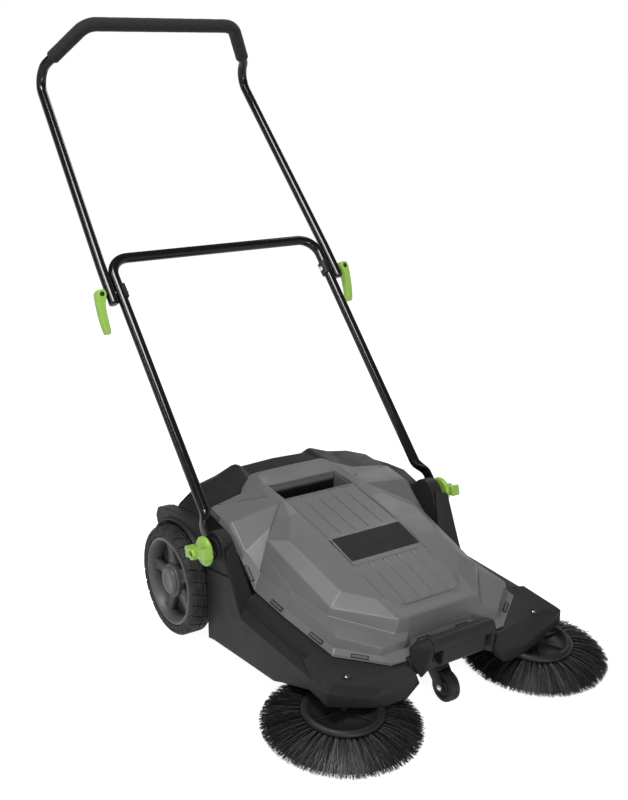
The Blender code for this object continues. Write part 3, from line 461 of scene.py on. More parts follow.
def make_lid():
    """The grey lid's skin: lip, chamfered flange, step up to the plateau, crease and panel border."""
    rim = [(x, y, panel_z(y)) for x, y in PANEL_PLAN]
    drop = shrunk(rim, 0.0012, -RECESS)
    tucked = shrunk(UNDER, 0.004, -0.0002)
    rings = [tucked, UNDER, LIP, SHOULDER, FOOT, PLATEAU, CREASE, rim, drop]
    round_of_ring = {1: 0.3, 2: 0.4, 3: 0.55, 4: 0.45, 5: 0.7, 6: 0.5, 7: 0.4}
    bm = bmesh.new()
    rows = [[bm.verts.new(point) for point in ring] for ring in rings]
    for outer, inner in zip(rows, rows[1:]):
        for i in range(len(outer) - 1):
            bm.faces.new((outer[i], inner[i], inner[i + 1], outer[i + 1]))
    weight = bm.edges.layers.float.new("bevel_weight_edge")
    for r, row in enumerate(rows):
        for i, vert in enumerate(row[:-1]):
            edge = bm.edges.get((vert, row[i + 1]))
            tight = (i < 4 or i > 9) and r in (3, 4)
            edge[weight] = 0.15 if tight else round_of_ring.get(r, 0)
            if 1 <= r < 7 and 0 < i:
                bm.edges.get((vert, rows[r + 1][i]))[weight] = 0.3 if i < 4 or i > 9 else 0.7
    mirrored_x(bm)
    lid = add("lid_skin", bm, GREY, "hopper", ("hopper_lid",), 50)
    edge = lid.modifiers.new("edges", "BEVEL")
    edge.width, edge.segments = 0.003, 3
    edge.limit_method, edge.use_clamp_overlap = "WEIGHT", False
    thick = lid.modifiers.new("thickness", "SOLIDIFY")
    thick.thickness, thick.offset = 0.0018, -1
    even(lid)


def strip_height(x, y, half):
    """How far the ribbed panel stands above its floor: sawtooth strips in two groups, flat between."""
    pitch = 2 * half / STRIPS
    across = (x + half) / pitch
    part = across - math.floor(across + 1e-9)
    for rear, front in (REAR_STRIPS, FRONT_STRIPS):
        if front <= y <= rear:
            return STRIP_RISE * (0.35 + 0.65 * part)
    return STRIP_RISE


def make_panel():
    """Recessed floor of the lid with its lengthwise strips, thin grooves between them."""
    bm = bmesh.new()
    ends = [SLOT_FRONT + 0.0005, *REAR_STRIPS, *FRONT_STRIPS, -0.3298]
    stations = []
    for start, end in zip(ends, ends[1:]):
        steps = max(int((start - end) / 0.012), 1)
        stations += [start + (end - start) * k / steps for k in range(steps)]
        stations += [end + 0.0008] if end != ends[-1] else []
    stations.append(ends[-1])
    rows = []
    for y in stations:
        clear = 0.0016
        half = next(x0 + (x1 - x0) * (y - y0) / (y1 - y0) for (x0, y0), (x1, y1) in
                    zip(PANEL_PLAN[3:], PANEL_PLAN[4:]) if y >= y1) - clear
        wide = 0.0745
        row = []
        inside = any(front < y < rear for rear, front in (REAR_STRIPS, FRONT_STRIPS))
        for s in range(STRIPS + 1):
            middle_x = -wide + 2 * wide * s / STRIPS
            for step, sink in ((-GROOVE, 0), (-GROOVE * 0.5, 1), (GROOVE * 0.5, 1), (GROOVE, 0)):
                x = max(-half, min(half, middle_x + step))
                level = strip_height(max(-wide, min(wide - 1e-5, middle_x + step)), y, wide)
                if inside and sink:
                    level = -0.0004
                row.append(bm.verts.new((x, y, panel_z(y) - RECESS - 0.0006 + level)))
        rows.append(row)
    for first, second in zip(rows, rows[1:]):
        for k in range(len(first) - 1):
            bm.faces.new((first[k], first[k + 1], second[k + 1], second[k]))
    bmesh.ops.remove_doubles(bm, verts=bm.verts, dist=0.00005)
    bmesh.ops.dissolve_degenerate(bm, edges=bm.edges, dist=0.00005)
    panel = add("lid_panel", bm, GREY, "hopper", (), 24)
    thick = panel.modifiers.new("thickness", "SOLIDIFY")
    thick.thickness, thick.offset = 0.0018, -1


def make_slot():
    """Hand slot: grey side walls and bar, and below them a black well whose black is painted shade of the
    deep pocket.
    """
    bm = bmesh.new()
    wall, low = 0.0022, SLOT_FLOOR + 0.006
    rear_z, front_z = panel_z(SLOT_REAR), panel_z(SLOT_FRONT)
    for sign in (-1, 1):
        inner, outer = sign * (SLOT_HALF + 0.0006), sign * (SLOT_HALF + 0.0006 + wall)
        prism(bm, [(SLOT_REAR + 0.003, low), (SLOT_REAR + 0.003, rear_z - 0.0032),
                   (SLOT_FRONT - 0.001, front_z - 0.0032), (SLOT_FRONT - 0.001, low)], inner, outer)
    prism(bm, [(SLOT_FRONT, low), (SLOT_FRONT, front_z - 0.003), (SLOT_FRONT - wall, front_z - 0.003),
               (SLOT_FRONT - wall, low)], -SLOT_HALF, SLOT_HALF)
    bar = mm([(0.4, -2.2), (-0.6, -6), (-0.6, -14), (3, -18), (18, -17), (18, -2.2)])
    prism(bm, [(SLOT_REAR + y, rear_z + z) for y, z in bar], -SLOT_HALF, SLOT_HALF)
    bevel(add("slot_bar", bm, GREY, "hopper"), 0.0012, 3)
    # Black floor and back wall of the pocket: painted shade
    bm = bmesh.new()
    box(bm, (-SLOT_HALF - 0.002, SLOT_FRONT - 0.002, SLOT_FLOOR), (SLOT_HALF + 0.002, SLOT_REAR + 0.003, low))
    box(bm, (-SLOT_HALF - 0.002, SLOT_REAR + 0.0012, low), (SLOT_HALF + 0.002, SLOT_REAR + 0.003, 0.236))
    bevel(add("slot_well_painted_shade", bm, BLACK, "hopper"), 0.0006)


def make_snap_windows():
    """Snap windows in the lip: a dark opening with a grey tongue behind it."""
    dark, grey = bmesh.new(), bmesh.new()
    for index, part, length in ((4, 0.28, 0.034), (6, 0.52, 0.03), (7, 0.72, 0.034), (8, 0.65, 0.034),
                                (9, 0.5, 0.028), (12, 0.4, 0.025)):
        low_a, low_b, top_a, top_b = (Vector(ring[k]) for ring in (UNDER, LIP) for k in (index, index + 1))
        place = (low_a.lerp(low_b, part) + top_a.lerp(top_b, part)) / 2
        along = (low_b - low_a).normalized()
        up = top_a.lerp(top_b, part) - low_a.lerp(low_b, part)
        up = (up - along * up.dot(along)).normalized()
        outward = along.cross(up)
        if outward.dot(Vector((place.x, place.y + 0.2, 0.05))) < 0:
            outward = -outward
        shape = Matrix((along, outward, up)).transposed()
        for sign in (-1, 1):
            for bm, size, high, deep in ((dark, length, 0.0076, 0.0004),
                                         (grey, length - 0.0036, 0.004, 0.0009)):
                box(bm, (-size / 2, -0.002, -high / 2), (size / 2, deep, high / 2), shape, place)
                bm.verts.ensure_lookup_table()
                if sign < 0:
                    for vert in bm.verts[-8:]:
                        vert.co.x = -vert.co.x
    add("snap_windows", dark, BLACK, "hopper")
    bevel(add("snap_tongues", grey, SHADED_GREY, "hopper"), 0.0003)


def make_label():
    """Plain dark label with rounded corners, laid on the panel between the two groups of strips."""
    bm = bmesh.new()
    radius, rows = 0.002, []
    x, rear, front = LABEL_HALF - radius, LABEL_REAR - radius, LABEL_FRONT + radius
    corners = [(x, rear, 0), (-x, rear, 90), (-x, front, 180), (x, front, 270)]
    for lift in (-0.0006, 0.00025):
        ring = []
        for x, y, start in corners:
            for k in range(5):
                angle = math.radians(start + 90 * k / 4)
                px, py = x + radius * math.cos(angle), y + radius * math.sin(angle)
                ring.append(bm.verts.new((px, py, panel_z(py) - RECESS - 0.0006 + STRIP_RISE + lift)))
        rows.append(ring)
    bm.faces.new(rows[0])
    bm.faces.new(rows[1])
    ring_faces(bm, *rows)
    add("blank_label", bm, LABEL, "hopper", ("label_plate",))


make_lid()
make_panel()
make_slot()
make_snap_windows()
make_label()
dress_node("hopper_tub", BLACK, 0.0008)


# ---------------------------------------------------------------- wheels
LUGS, LUG_DEPTH = 28, 0.0034
SPOKES = 5


def make_tyre(side, sign):
    """Rubber tyre: a smooth carcass and two staggered rows of shoulder lugs."""
    width = WHEEL_OUT - WHEEL_IN
    centre, out = (sign * WHEEL_IN, WHEEL_Y, WHEEL_Z), (sign, 0, 0)
    bm = bmesh.new()
    ground = WHEEL_R - LUG_DEPTH
    carcass = [(RIM_R + 0.0003, 0.0006), (RIM_R + 0.004, 0.0), (ground - 0.004, 0.0012), (ground, 0.004),
               (ground + 0.0006, width / 2), (ground, width - 0.004), (ground - 0.0035, width - 0.0014),
               (RIM_R + 0.006, width - 0.0006), (RIM_R + 0.0042, width - 0.0002),
               (RIM_R + 0.0022, width - 0.0008), (RIM_R + 0.0003, width - 0.0016)]
    turned(bm, carcass, centre, out, 160, True)
    axis = Vector(out)
    for row, (low, high) in enumerate(((0.0012, width / 2 - 0.0009), (width / 2 + 0.0009, width - 0.0008))):
        way = 1 if row else -1
        shoulder, inner = (high, low) if row else (low, high)
        stations = [(inner, 0.06 * way, 0.0), (inner, 0.06 * way, LUG_DEPTH),
                    (shoulder - 0.005 * way, 0.0, LUG_DEPTH), (shoulder, 0.0, LUG_DEPTH - 0.0036),
                    (shoulder + 0.0006 * way, 0.0, -0.005), (shoulder - 0.004 * way, 0.0, -0.006)]
        for k in range(LUGS):
            first = 2 * math.pi * (k + 0.5 * row) / LUGS
            span = 2 * math.pi / LUGS * 0.9
            rings = []
            for place, lean, rise in stations:
                spots = (Vector((0, *polar(ground + rise, first + lean + span * t / 4))) for t in range(5))
                rings.append([bm.verts.new(Vector(centre) + axis * place + spot) for spot in spots])
            for one, two in zip(rings, rings[1:] + rings[:1]):
                for t in range(4):
                    bm.faces.new((one[t], one[t + 1], two[t + 1], two[t]))
            bm.faces.new([ring[0] for ring in rings])
            bm.faces.new([ring[-1] for ring in rings])
    tyre = add(f"tyre_tread_{side}", bm, TYRE, f"wheel_{side}", (f"tyre_{side}",), 30)
    bevel(tyre, 0.0007, 2, 40)


def make_rim(side, sign):
    """Grey rim: outer lip, dished back web, hub and five tapered spokes, with the gear ring behind."""
    width = WHEEL_OUT - WHEEL_IN
    centre, out = Vector((sign * WHEEL_IN, WHEEL_Y, WHEEL_Z)), Vector((sign, 0, 0))
    bm = bmesh.new()
    lip = [(RIM_R, width - 0.003), (RIM_R, 0.001), (RIM_R - 0.004, 0.001), (RIM_R - 0.004, 0.014),
           (RIM_R - 0.0125, 0.0165), (RIM_R - 0.0115, 0.03), (RIM_R - 0.008, width - 0.004),
           (RIM_R - 0.0062, width - 0.0012), (RIM_R - 0.004, width - 0.0002),
           (RIM_R - 0.0018, width - 0.0008)]
    turned(bm, lip, centre, out, 128, True)
    hub = [(0.0095, 0.003), (0.0285, 0.003), (0.0285, 0.02), (0.031, 0.026), (0.03, width - 0.0085),
           (0.0275, width - 0.0062), (0.0095, width - 0.0062)]
    turned(bm, hub, centre, out, 72, True)
    for k in range(SPOKES):
        middle_angle = 2 * math.pi * k / SPOKES + math.radians(4)
        rings = []
        for radius, half, face in ((0.0285, 0.015, width - 0.0125), (0.045, 0.0105, width - 0.0135),
                                   (0.06, 0.0098, width - 0.013), (RIM_R - 0.009, 0.0135, width - 0.01)):
            radial = Vector((0, math.cos(middle_angle), math.sin(middle_angle)))
            tangent = Vector((0, -math.sin(middle_angle), math.cos(middle_angle)))
            ring = []
            for u, depth in ((-1.0, 0.02), (-0.92, face - 0.003), (-0.62, face), (-0.4, face - 0.0022),
                             (0.4, face - 0.0022), (0.62, face), (0.92, face - 0.003), (1.0, 0.02)):
                ring.append(bm.verts.new(centre + radial * radius + tangent * half * u + out * depth))
            rings.append(ring)
        loft(bm, rings)
    rim = add(f"rim_spokes_{side}", bm, SHADED_GREY, f"wheel_{side}", (f"wheel_rim_{side}",), 30)
    bevel(rim, 0.001, 2, 34)
    bm = bmesh.new()
    gear_out, gear_in = 0.0652, 0.0612
    back = [(RIM_R - 0.0095, 0.0155), (RIM_R - 0.0095, 0.0185), (0.028, 0.02), (0.028, 0.0168),
            (gear_in, 0.016), (gear_in, 0.005), (gear_out, 0.005), (gear_out, 0.015)]
    turned(bm, back, centre, out, 96, True)
    teeth = 60
    for k in range(teeth):
        angle = 2 * math.pi * k / teeth
        turn = Matrix.Rotation(angle, 3, "X")
        low, high = sorted((sign * 0.0052, sign * 0.0155))
        box(bm, (low, gear_in - 0.0014, -0.0011), (high, gear_in + 0.001, 0.0011), turn, centre)
    bevel(add(f"rim_web_{side}", bm, BLACK, f"wheel_{side}"), 0.0003, 1, 50)


def make_hub_cap(side, sign):
    width = WHEEL_OUT - WHEEL_IN
    bm = bmesh.new()
    cap = [(0, width - 0.001), (0.013, width - 0.001), (0.015, width - 0.0004), (0.0205, width - 0.0004),
           (0.0232, width - 0.0012), (0.0252, width - 0.0034), (0.0262, width - 0.0058), (0, width - 0.0058)]
    turned(bm, cap, (sign * WHEEL_IN, WHEEL_Y, WHEEL_Z), (sign, 0, 0), 96)
    cover = add(f"hub_cover_{side}", bm, SHADED_GREY, f"wheel_{side}", (f"hub_cap_{side}",))
    bevel(cover, 0.0005, 2, 20)


for side_name, side_sign in SIDES:
    make_tyre(side_name, side_sign)
    make_rim(side_name, side_sign)
    make_hub_cap(side_name, side_sign)
    dress_node(f"stub_axle_{side_name}", ZINC)
    dress_node(f"pinion_shaft_{side_name}", ZINC)


# ---------------------------------------------------------------- brushes
TUFTS, STRANDS = 46, 34


def brush_point(sign, height):
    """A point on a side brush's axis, above the plane of its bristle tips."""
    return Vector((sign * BRUSH_X, BRUSH_Y, BRUSH_TIP_Z)) + BRUSH_AXIS * height


def brush_frame(sign):
    return brush_point(sign, 0), BRUSH_AXIS.to_track_quat("Z", "Y").to_matrix()


def strand(bm, points, half, material):
    """A thin three-sided bristle that tapers a little to its tip."""
    rings = []
    for i, point in enumerate(points):
        size = half * (1 - 0.35 * i / (len(points) - 1))
        along = (points[min(i + 1, len(points) - 1)] - points[max(i - 1, 0)]).normalized()
        wide = along.cross(Vector((0.01, 0.02, 1))).normalized()
        high = wide.cross(along)
        rings.append([bm.verts.new(point + wide * size * math.cos(a) + high * size * math.sin(a))
                      for a in (0.5, 0.5 + 2 * math.pi / 3, 0.5 + 4 * math.pi / 3)])
    for one, two in zip(rings, rings[1:]):
        for k in range(3):
            face = bm.faces.new((one[k], one[(k + 1) % 3], two[(k + 1) % 3], two[k]))
            face.material_index = material
    bm.faces.new(rings[-1]).material_index = material


def make_side_brush(side, sign):
    """Fanned nylon bristles in tufts, over a dark cone that closes the fan from below."""
    chance = random.Random(11 if sign > 0 else 12)
    origin, turn = brush_frame(sign)
    bm = bmesh.new()
    inner = mm([(56, 21.5), (85, 15), (110, 6.5), (117, 2.4), (112, 1.4), (80, 6), (50, 15), (47, 19.5)])
    turned(bm, inner, origin, BRUSH_AXIS, 72, True)
    for row, (root_r, root_z, spread) in enumerate(((0.0575, 0.0245, 1.0), (0.055, 0.0205, 0.92))):
        for k in range(TUFTS):
            base = 2 * math.pi * (k + 0.5 * row) / TUFTS
            for _ in range(STRANDS):
                lean = chance.gauss(0, 0.03)
                angle = base + lean * 0.55
                tip = base + lean * 2.0 + chance.gauss(0, 0.016)
                length = chance.uniform(0.95, 1.0) - (0.04 if chance.random() < 0.12 else 0)
                tip_r = BRUSH_R * length * (0.985 if row else 1.0)
                tip_z = 0.0012 + abs(chance.gauss(0, 0.003)) + (0 if row else 0.0012)
                lift = chance.uniform(0.0, 0.0035)
                points = []
                for step in range(4):
                    part = step / 3
                    radius = root_r + (tip_r - root_r) * part
                    where = angle + (tip - angle) * part ** 1.6
                    height = root_z + lift * math.sin(math.pi * part) + (tip_z - root_z) * part ** 1.45
                    points.append(origin + turn @ Vector((*polar(radius, where), height * spread)))
                # About one strand in six gets the lighter bristle copy, a painted highlight
                strand(bm, points, chance.uniform(0.00038, 0.0006), 1 if chance.random() < 0.16 else 0)
    add(f"brush_fan_{side}", bm, [BRISTLE, BRISTLE_HIGHLIT], f"side_brush_{side}",
        (f"side_bristles_{side}",), 60)

    bm = bmesh.new()
    hub = mm([(0, 30), (8, 30), (16, 29), (20.5, 26.2), (30, 25), (43, 25.6), (49, 27.8), (53, 31.8),
              (56.2, 34), (59.8, 33.8), (63.2, 31.6), (65.3, 28.2), (64.8, 26.2), (56, 23.6),
              (53.5, 20.3), (0, 20.3)])
    turned(bm, hub, origin, BRUSH_AXIS, 96)
    for k in range(6):
        angle = 2 * math.pi * k / 6
        rib = turn @ Matrix.Rotation(angle, 3, "Z")
        box(bm, (0.019, -0.0014, 0.024), (0.052, 0.0014, 0.0292), rib, origin)
    bevel(add(f"brush_ring_{side}", bm, BLACK, f"side_brush_{side}",
              (f"side_brush_hub_{side}",), 50), 0.0005, 2, 50)


def make_roller():
    """Roller: core with helical double rows of tufts."""
    chance = random.Random(5)
    low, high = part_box("roller_bristles")
    centre_y, centre_z = (low.y + high.y) / 2 - ORIGIN_Y, (low.z + high.z) / 2
    radius = (high.z - low.z) / 2 - 0.0002
    bm = bmesh.new()
    half = high.x
    rows, along = 10, 54
    for k in range(rows):
        for n in range(along):
            part = (n + 0.5) / along
            x = -half + 2 * half * part
            base = 2 * math.pi * (k + 0.5) / rows + (abs(part - 0.5) - 0.25) * 0.35
            for _ in range(5):
                angle = base + chance.gauss(0, 0.02)
                tip = base + chance.gauss(0, 0.055)
                reach = radius * chance.uniform(0.965, 1.0)
                place_x = x + chance.gauss(0, 0.0009)
                tip_x = max(-half, min(half, x + chance.gauss(0, 0.0018)))
                start, end = (Vector((at, centre_y + r * math.cos(a), centre_z + r * math.sin(a)))
                              for at, r, a in ((place_x, 0.02, angle), (tip_x, reach, tip)))
                # About one strand in eight gets the lighter bristle copy, a painted highlight
                strand(bm, [start, (start + end) / 2, end], 0.0006, 1 if chance.random() < 0.12 else 0)
    add("roller_tufts", bm, [BRISTLE, BRISTLE_HIGHLIT], "roller", ("roller_bristles",), 60)
    dress_node("roller_core", BLACK, 0.0008)


for side_name, side_sign in SIDES:
    make_side_brush(side_name, side_sign)
    dress_node(f"brush_spindle_{side_name}", BLACK)
    dress_node(f"side_belt_{side_name}", RUBBER)
    dress_node(f"roller_bearing_{side_name}", BLACK, 0.0008)
make_roller()
dress_node("roller_belt", RUBBER)


# ---------------------------------------------------------------- handle
ACROSS = Vector((0, -math.sin(HANDLE_ANGLE), math.cos(HANDLE_ANGLE)))


def along_handle(y0, z0, distance):
    return y0 + distance * math.cos(HANDLE_ANGLE), z0 + distance * math.sin(HANDLE_ANGLE)


def smooth(part):
    return part * part * (3 - 2 * part)


def flattened_end():
    """Tube end pressed flat round the knob bolt, turning smoothly into the round tube."""
    stations = []
    for distance, wide in ((-0.0175, 0.0035), (-0.0168, 0.0068), (-0.015, 0.0092), (-0.0115, 0.0118),
                           (-0.006, 0.0132), (0.0, 0.0136), (0.02, 0.0134), (0.04, 0.013)):
        stations.append((PIVOT_X, distance, 0.003, wide))
    steps = 10
    for k in range(1, steps + 1):
        part = smooth(k / steps)
        stations.append((PIVOT_X + (LOWER_X - PIVOT_X) * part, 0.04 + 0.03 * k / steps,
                         0.003 + (TUBE_R - 0.003) * part, 0.013 + (TUBE_R - 0.013) * part))
    return [(Vector((x, *along_handle(PIVOT_Y, PIVOT_Z, distance))), thin, wide)
            for x, distance, thin, wide in stations]


def both_halves(right):
    return right + [(Vector((-place.x, place.y, place.z)), a, b) for place, a, b in reversed(right)]


def make_lower_handle():
    cross_y, cross_z, bend_r = 0.354, 0.639, 0.038
    right = flattened_end()
    end = (LOWER_X, *along_handle(PIVOT_Y, PIVOT_Z, 0.15))
    bend = rounded([end, (LOWER_X, cross_y, cross_z), (0, cross_y, cross_z)], bend_r, 16)
    right += [(place, TUBE_R, TUBE_R) for place in bend[:-1]]
    bm = bmesh.new()
    sweep(bm, both_halves(right), ACROSS, 32)
    bevel(add("lower_tube", bm, PAINT, "lower_handle", ("lower_handle",), 45), 0.0004, 2, 60)


UPPER_CORNERS = [(0.2312, 0.6475, 0.961), (0.225, 0.616, 0.988), (0.163, 0.552, 1.0624)]


def make_upper_handle():
    low = Vector((UPPER_X, *along_handle(CLAMP_Y, CLAMP_Z, -0.022)))
    mid = Vector((UPPER_X - 0.001, *along_handle(CLAMP_Y, CLAMP_Z, 0.05)))
    right = [mid, *UPPER_CORNERS]
    corners = right + [(-x, y, z) for x, y, z in reversed(right)]
    route = [low] + rounded(corners, 0.038, 14) + [Vector((-low.x, low.y, low.z))]
    bm = bmesh.new()
    inward = (route[1] - route[0]).normalized()
    cap = [(low - inward * 0.0012, TUBE_R * 0.8, TUBE_R * 0.8)]
    path = cap + [(place, TUBE_R, TUBE_R) for place in route]
    path.append((Vector((-cap[0][0].x, cap[0][0].y, cap[0][0].z)), TUBE_R * 0.8, TUBE_R * 0.8))
    sweep(bm, path, ACROSS, 32)
    add("upper_tube", bm, PAINT, "upper_handle", ("upper_handle",), 45)

    start = Vector((0.2162, 0.6069, 0.9986))
    other = Vector((-start.x, start.y, start.z))
    corners = [start, UPPER_CORNERS[2], (-UPPER_CORNERS[2][0], *UPPER_CORNERS[2][1:]), other]
    route = rounded(corners, 0.038, 14)
    lengths = [0.0]
    for a, b in zip(route, route[1:]):
        lengths.append(lengths[-1] + (b - a).length)
    total, pieces = lengths[-1], 150
    path = []
    for k in range(pieces + 1):
        distance = total * k / pieces
        n = min(max(i for i, value in enumerate(lengths) if value <= distance + 1e-9), len(route) - 2)
        place = route[n].lerp(route[n + 1], (distance - lengths[n]) / (lengths[n + 1] - lengths[n]))
        from_end = min(distance, total - distance)
        radius = GRIP_R - 0.0024 * (1 - min(from_end / 0.0035, 1)) ** 2
        radius *= 1 + 0.01 * math.sin(41 * k / pieces) * math.sin(97 * k / pieces + 1)
        path.append((place, radius, radius))
    bm = bmesh.new()
    sweep(bm, path, ACROSS, 32)
    add("foam_sleeve", bm, FOAM, "upper_handle", ("foam_grip",), 50)


def make_clamp(side, sign):
    """Clamp: black saddle round the lower tube, its bolt, and the lime cam lever."""
    turn, centre = Matrix.Rotation(HANDLE_ANGLE, 3, "X"), Vector((0, CLAMP_Y, CLAMP_Z))
    bm = bmesh.new()
    steps, radius, high, back = 14, TUBE_R + 0.0004, 0.0108, LOWER_X - 0.0111
    outline = []
    for k in range(steps + 1):
        angle = math.radians(-80 + 160 * k / steps)
        outline.append((LOWER_X - radius * math.cos(angle), radius * math.sin(angle)))
    outline += [(LOWER_X - 0.001, high), (back + 0.003, high), (back, high - 0.003), (back, 0.003 - high),
                (back + 0.003, -high), (LOWER_X - 0.001, -high)]
    rings = []
    for y, grow in ((-0.014, 0.94), (-0.012, 1.0), (0.012, 1.0), (0.014, 0.94)):
        places = (Vector((sign * x, y, z * (grow if abs(z) > TUBE_R else 1))) for x, z in outline)
        rings.append([bm.verts.new(centre + turn @ place) for place in places])
    loft(bm, rings)
    saddle = add(f"saddle_{side}", bm, BLACK, "lower_handle", (f"clamp_saddle_{side}",))
    bevel(saddle, 0.0008, 2, 40)

    bm = bmesh.new()
    bolt = mm([(0, 267.4), (3, 267.4), (3, 218.6), (4.8, 218.6), (5.2, 217.2), (4.6, 215.6), (0, 215.2)])
    turned(bm, bolt, centre, (sign, 0, 0), 32)
    add(f"clamp_pin_{side}", bm, ZINC, "lower_handle", (f"clamp_bolt_{side}",))

    down, axis = Vector((0, -0.342, -0.94)), Vector((0, -0.94, 0.342))
    pivot = Vector((sign * LEVER_X, CLAMP_Y, CLAMP_Z))
    bm = bmesh.new()
    turned(bm, [(0, 0.0116), (0.0036, 0.0116), (0.0044, 0.011), (0.0044, -0.011), (0.0036, -0.0116),
                (0, -0.0116)], pivot, axis, 32)
    add(f"cam_barrel_{side}", bm, BLACK, "lower_handle")

    outer = mm([(5, 8.6), (8, 6), (9.8, 2), (10.2, -4), (10.6, -16), (10.4, -32), (9.2, -50), (6.6, -68),
                (4.6, -74)])
    inner = mm([(-5, 8.6), (-8, 5.5), (-9.4, 1), (-8.4, -6), (-4.2, -17), (-3.4, -32), (-4.4, -50),
                (-5.8, -68), (-4.8, -74)])
    half = mm([10, 10.4, 10.5, 10.5, 10.2, 9.6, 8.8, 8, 6.6])
    bm = bmesh.new()
    rings = []
    for (u0, v0), (u1, v1), wide in zip(outer, inner, half):
        ring = []
        for u, v, s in ((u0, v0, -0.72), (u0 + 0.0008, v0, 0.0), (u0, v0, 0.72), (u0 - 0.0022, v0, 1.0),
                        (u1 + 0.001, v1, 1.0), (u1, v1, 0.8), (u1, v1, -0.8), (u1 + 0.001, v1, -1.0),
                        (u0 - 0.0022, v0, -1.0)):
            ring.append(bm.verts.new(pivot + Vector((sign * u, 0, 0)) - down * v + axis * wide * s))
        rings.append(ring)
    loft(bm, rings)
    lever = add(f"lever_{side}", bm, LIME, f"cam_lever_{side}", (f"cam_lever_{side}",), 40)
    cutter = bmesh.new()
    shape = Matrix((Vector((1, 0, 0)), axis, -down)).transposed()
    box(cutter, (-0.02, -0.0068, -0.0058), (0.02, 0.0068, 0.02), shape, pivot)
    mesh = bpy.data.meshes.new(f"fork_gap_{side}")
    bmesh.ops.recalc_face_normals(cutter, faces=cutter.faces)
    cutter.to_mesh(mesh)
    cutter.free()
    gap = bpy.data.objects.new(f"fork_gap_{side}", mesh)
    gap.location = (0, ORIGIN_Y, 0)
    bpy.context.scene.collection.objects.link(gap)
    slit = lever.modifiers.new("fork", "BOOLEAN")
    slit.object, slit.operation = gap, "DIFFERENCE"
    settle(lever)
    bpy.data.objects.remove(gap)
    bevel(lever, 0.0009, 3, 32)


def settle(made):
    """Apply a piece's modifiers."""
    bpy.context.view_layer.update()
    graph = bpy.context.evaluated_depsgraph_get()
    mesh = bpy.data.meshes.new_from_object(made.evaluated_get(graph))
    made.modifiers.clear()
    made.data = mesh
    shade(mesh, 40)


def make_knob(side, sign):
    """Lime wing knob: round flange, two leaning wings and a hollow hub."""
    centre, out = Vector((0, PIVOT_Y, PIVOT_Z)), Vector((sign, 0, 0))
    bm = bmesh.new()
    disc = mm([(10, 265.5), (18.5, 264), (23.2, 262.2), (25.6, 259.8), (26.2, 257), (25.2, 254.2),
               (23, 252.6), (0, 252.6), (0, 265.5)])
    turned(bm, disc, centre, out, 64)
    hub = mm([(6, 270), (6.2, 283), (6.8, 284.2), (8.6, 284.2), (9.6, 283), (10.8, 264), (0, 264),
              (0, 270)])
    turned(bm, hub, centre, out, 48)
    lean = math.radians(-14)
    cut = 0.0016
    for way in (-1, 1):
        rings = []
        for u, thick, low, high in mm([(4, 7, 260, 279), (13, 7.4, 260, 279), (21, 8.6, 259.6, 278.6),
                                       (32.5, 10.2, 259, 277.6), (34.2, 9.2, 260.4, 276.2)]):
            section = ((-thick, low + cut), (cut - thick, low), (thick - cut, low), (thick, low + cut),
                       (thick, high - cut), (thick - cut, high), (cut - thick, high), (-thick, high - cut))
            rings.append([bm.verts.new((sign * x, PIVOT_Y + way * u * math.cos(lean) - v * math.sin(lean),
                                        PIVOT_Z + way * u * math.sin(lean) + v * math.cos(lean)))
                          for v, x in section])
        loft(bm, rings)
    knob = add(f"knob_{side}", bm, LIME, f"wing_knob_{side}", (f"wing_knob_{side}",), 40)
    bevel(knob, 0.0006, 2, 28)
    bm = bmesh.new()
    turned(bm, [(0, 0.2526), (0.003, 0.2526), (0.003, 0.2165), (0, 0.2158)], centre, out, 24)
    turned(bm, [(0, 0.2716), (0.0052, 0.2716), (0.0052, 0.269), (0, 0.269)], centre, out, 6)
    add(f"knob_bolt_{side}", bm, ZINC, f"wing_knob_{side}")


make_lower_handle()
make_upper_handle()
for side_name, side_sign in SIDES:
    make_clamp(side_name, side_sign)
    make_knob(side_name, side_sign)


# ---------------------------------------------------------------- chassis
WALL_X = 241  # millimetres, used inside mm()


def facets(bm, points, faces, sign=1):
    """Add flat faces named by the letters of their corners, on one side of the machine."""
    verts = {key: bm.verts.new((sign * x, y, z)) for key, (x, y, z) in points.items()}
    for face in faces:
        bm.faces.new([verts[key] for key in face.split()])


def skin(made, thickness, width, segments=3, angle=14):
    """Round an open sheet's folds and give it a wall thickness."""
    bevel(made, width, segments, angle, False)
    thick = made.modifiers.new("thickness", "SOLIDIFY")
    thick.thickness, thick.offset = thickness, -1
    even(made)


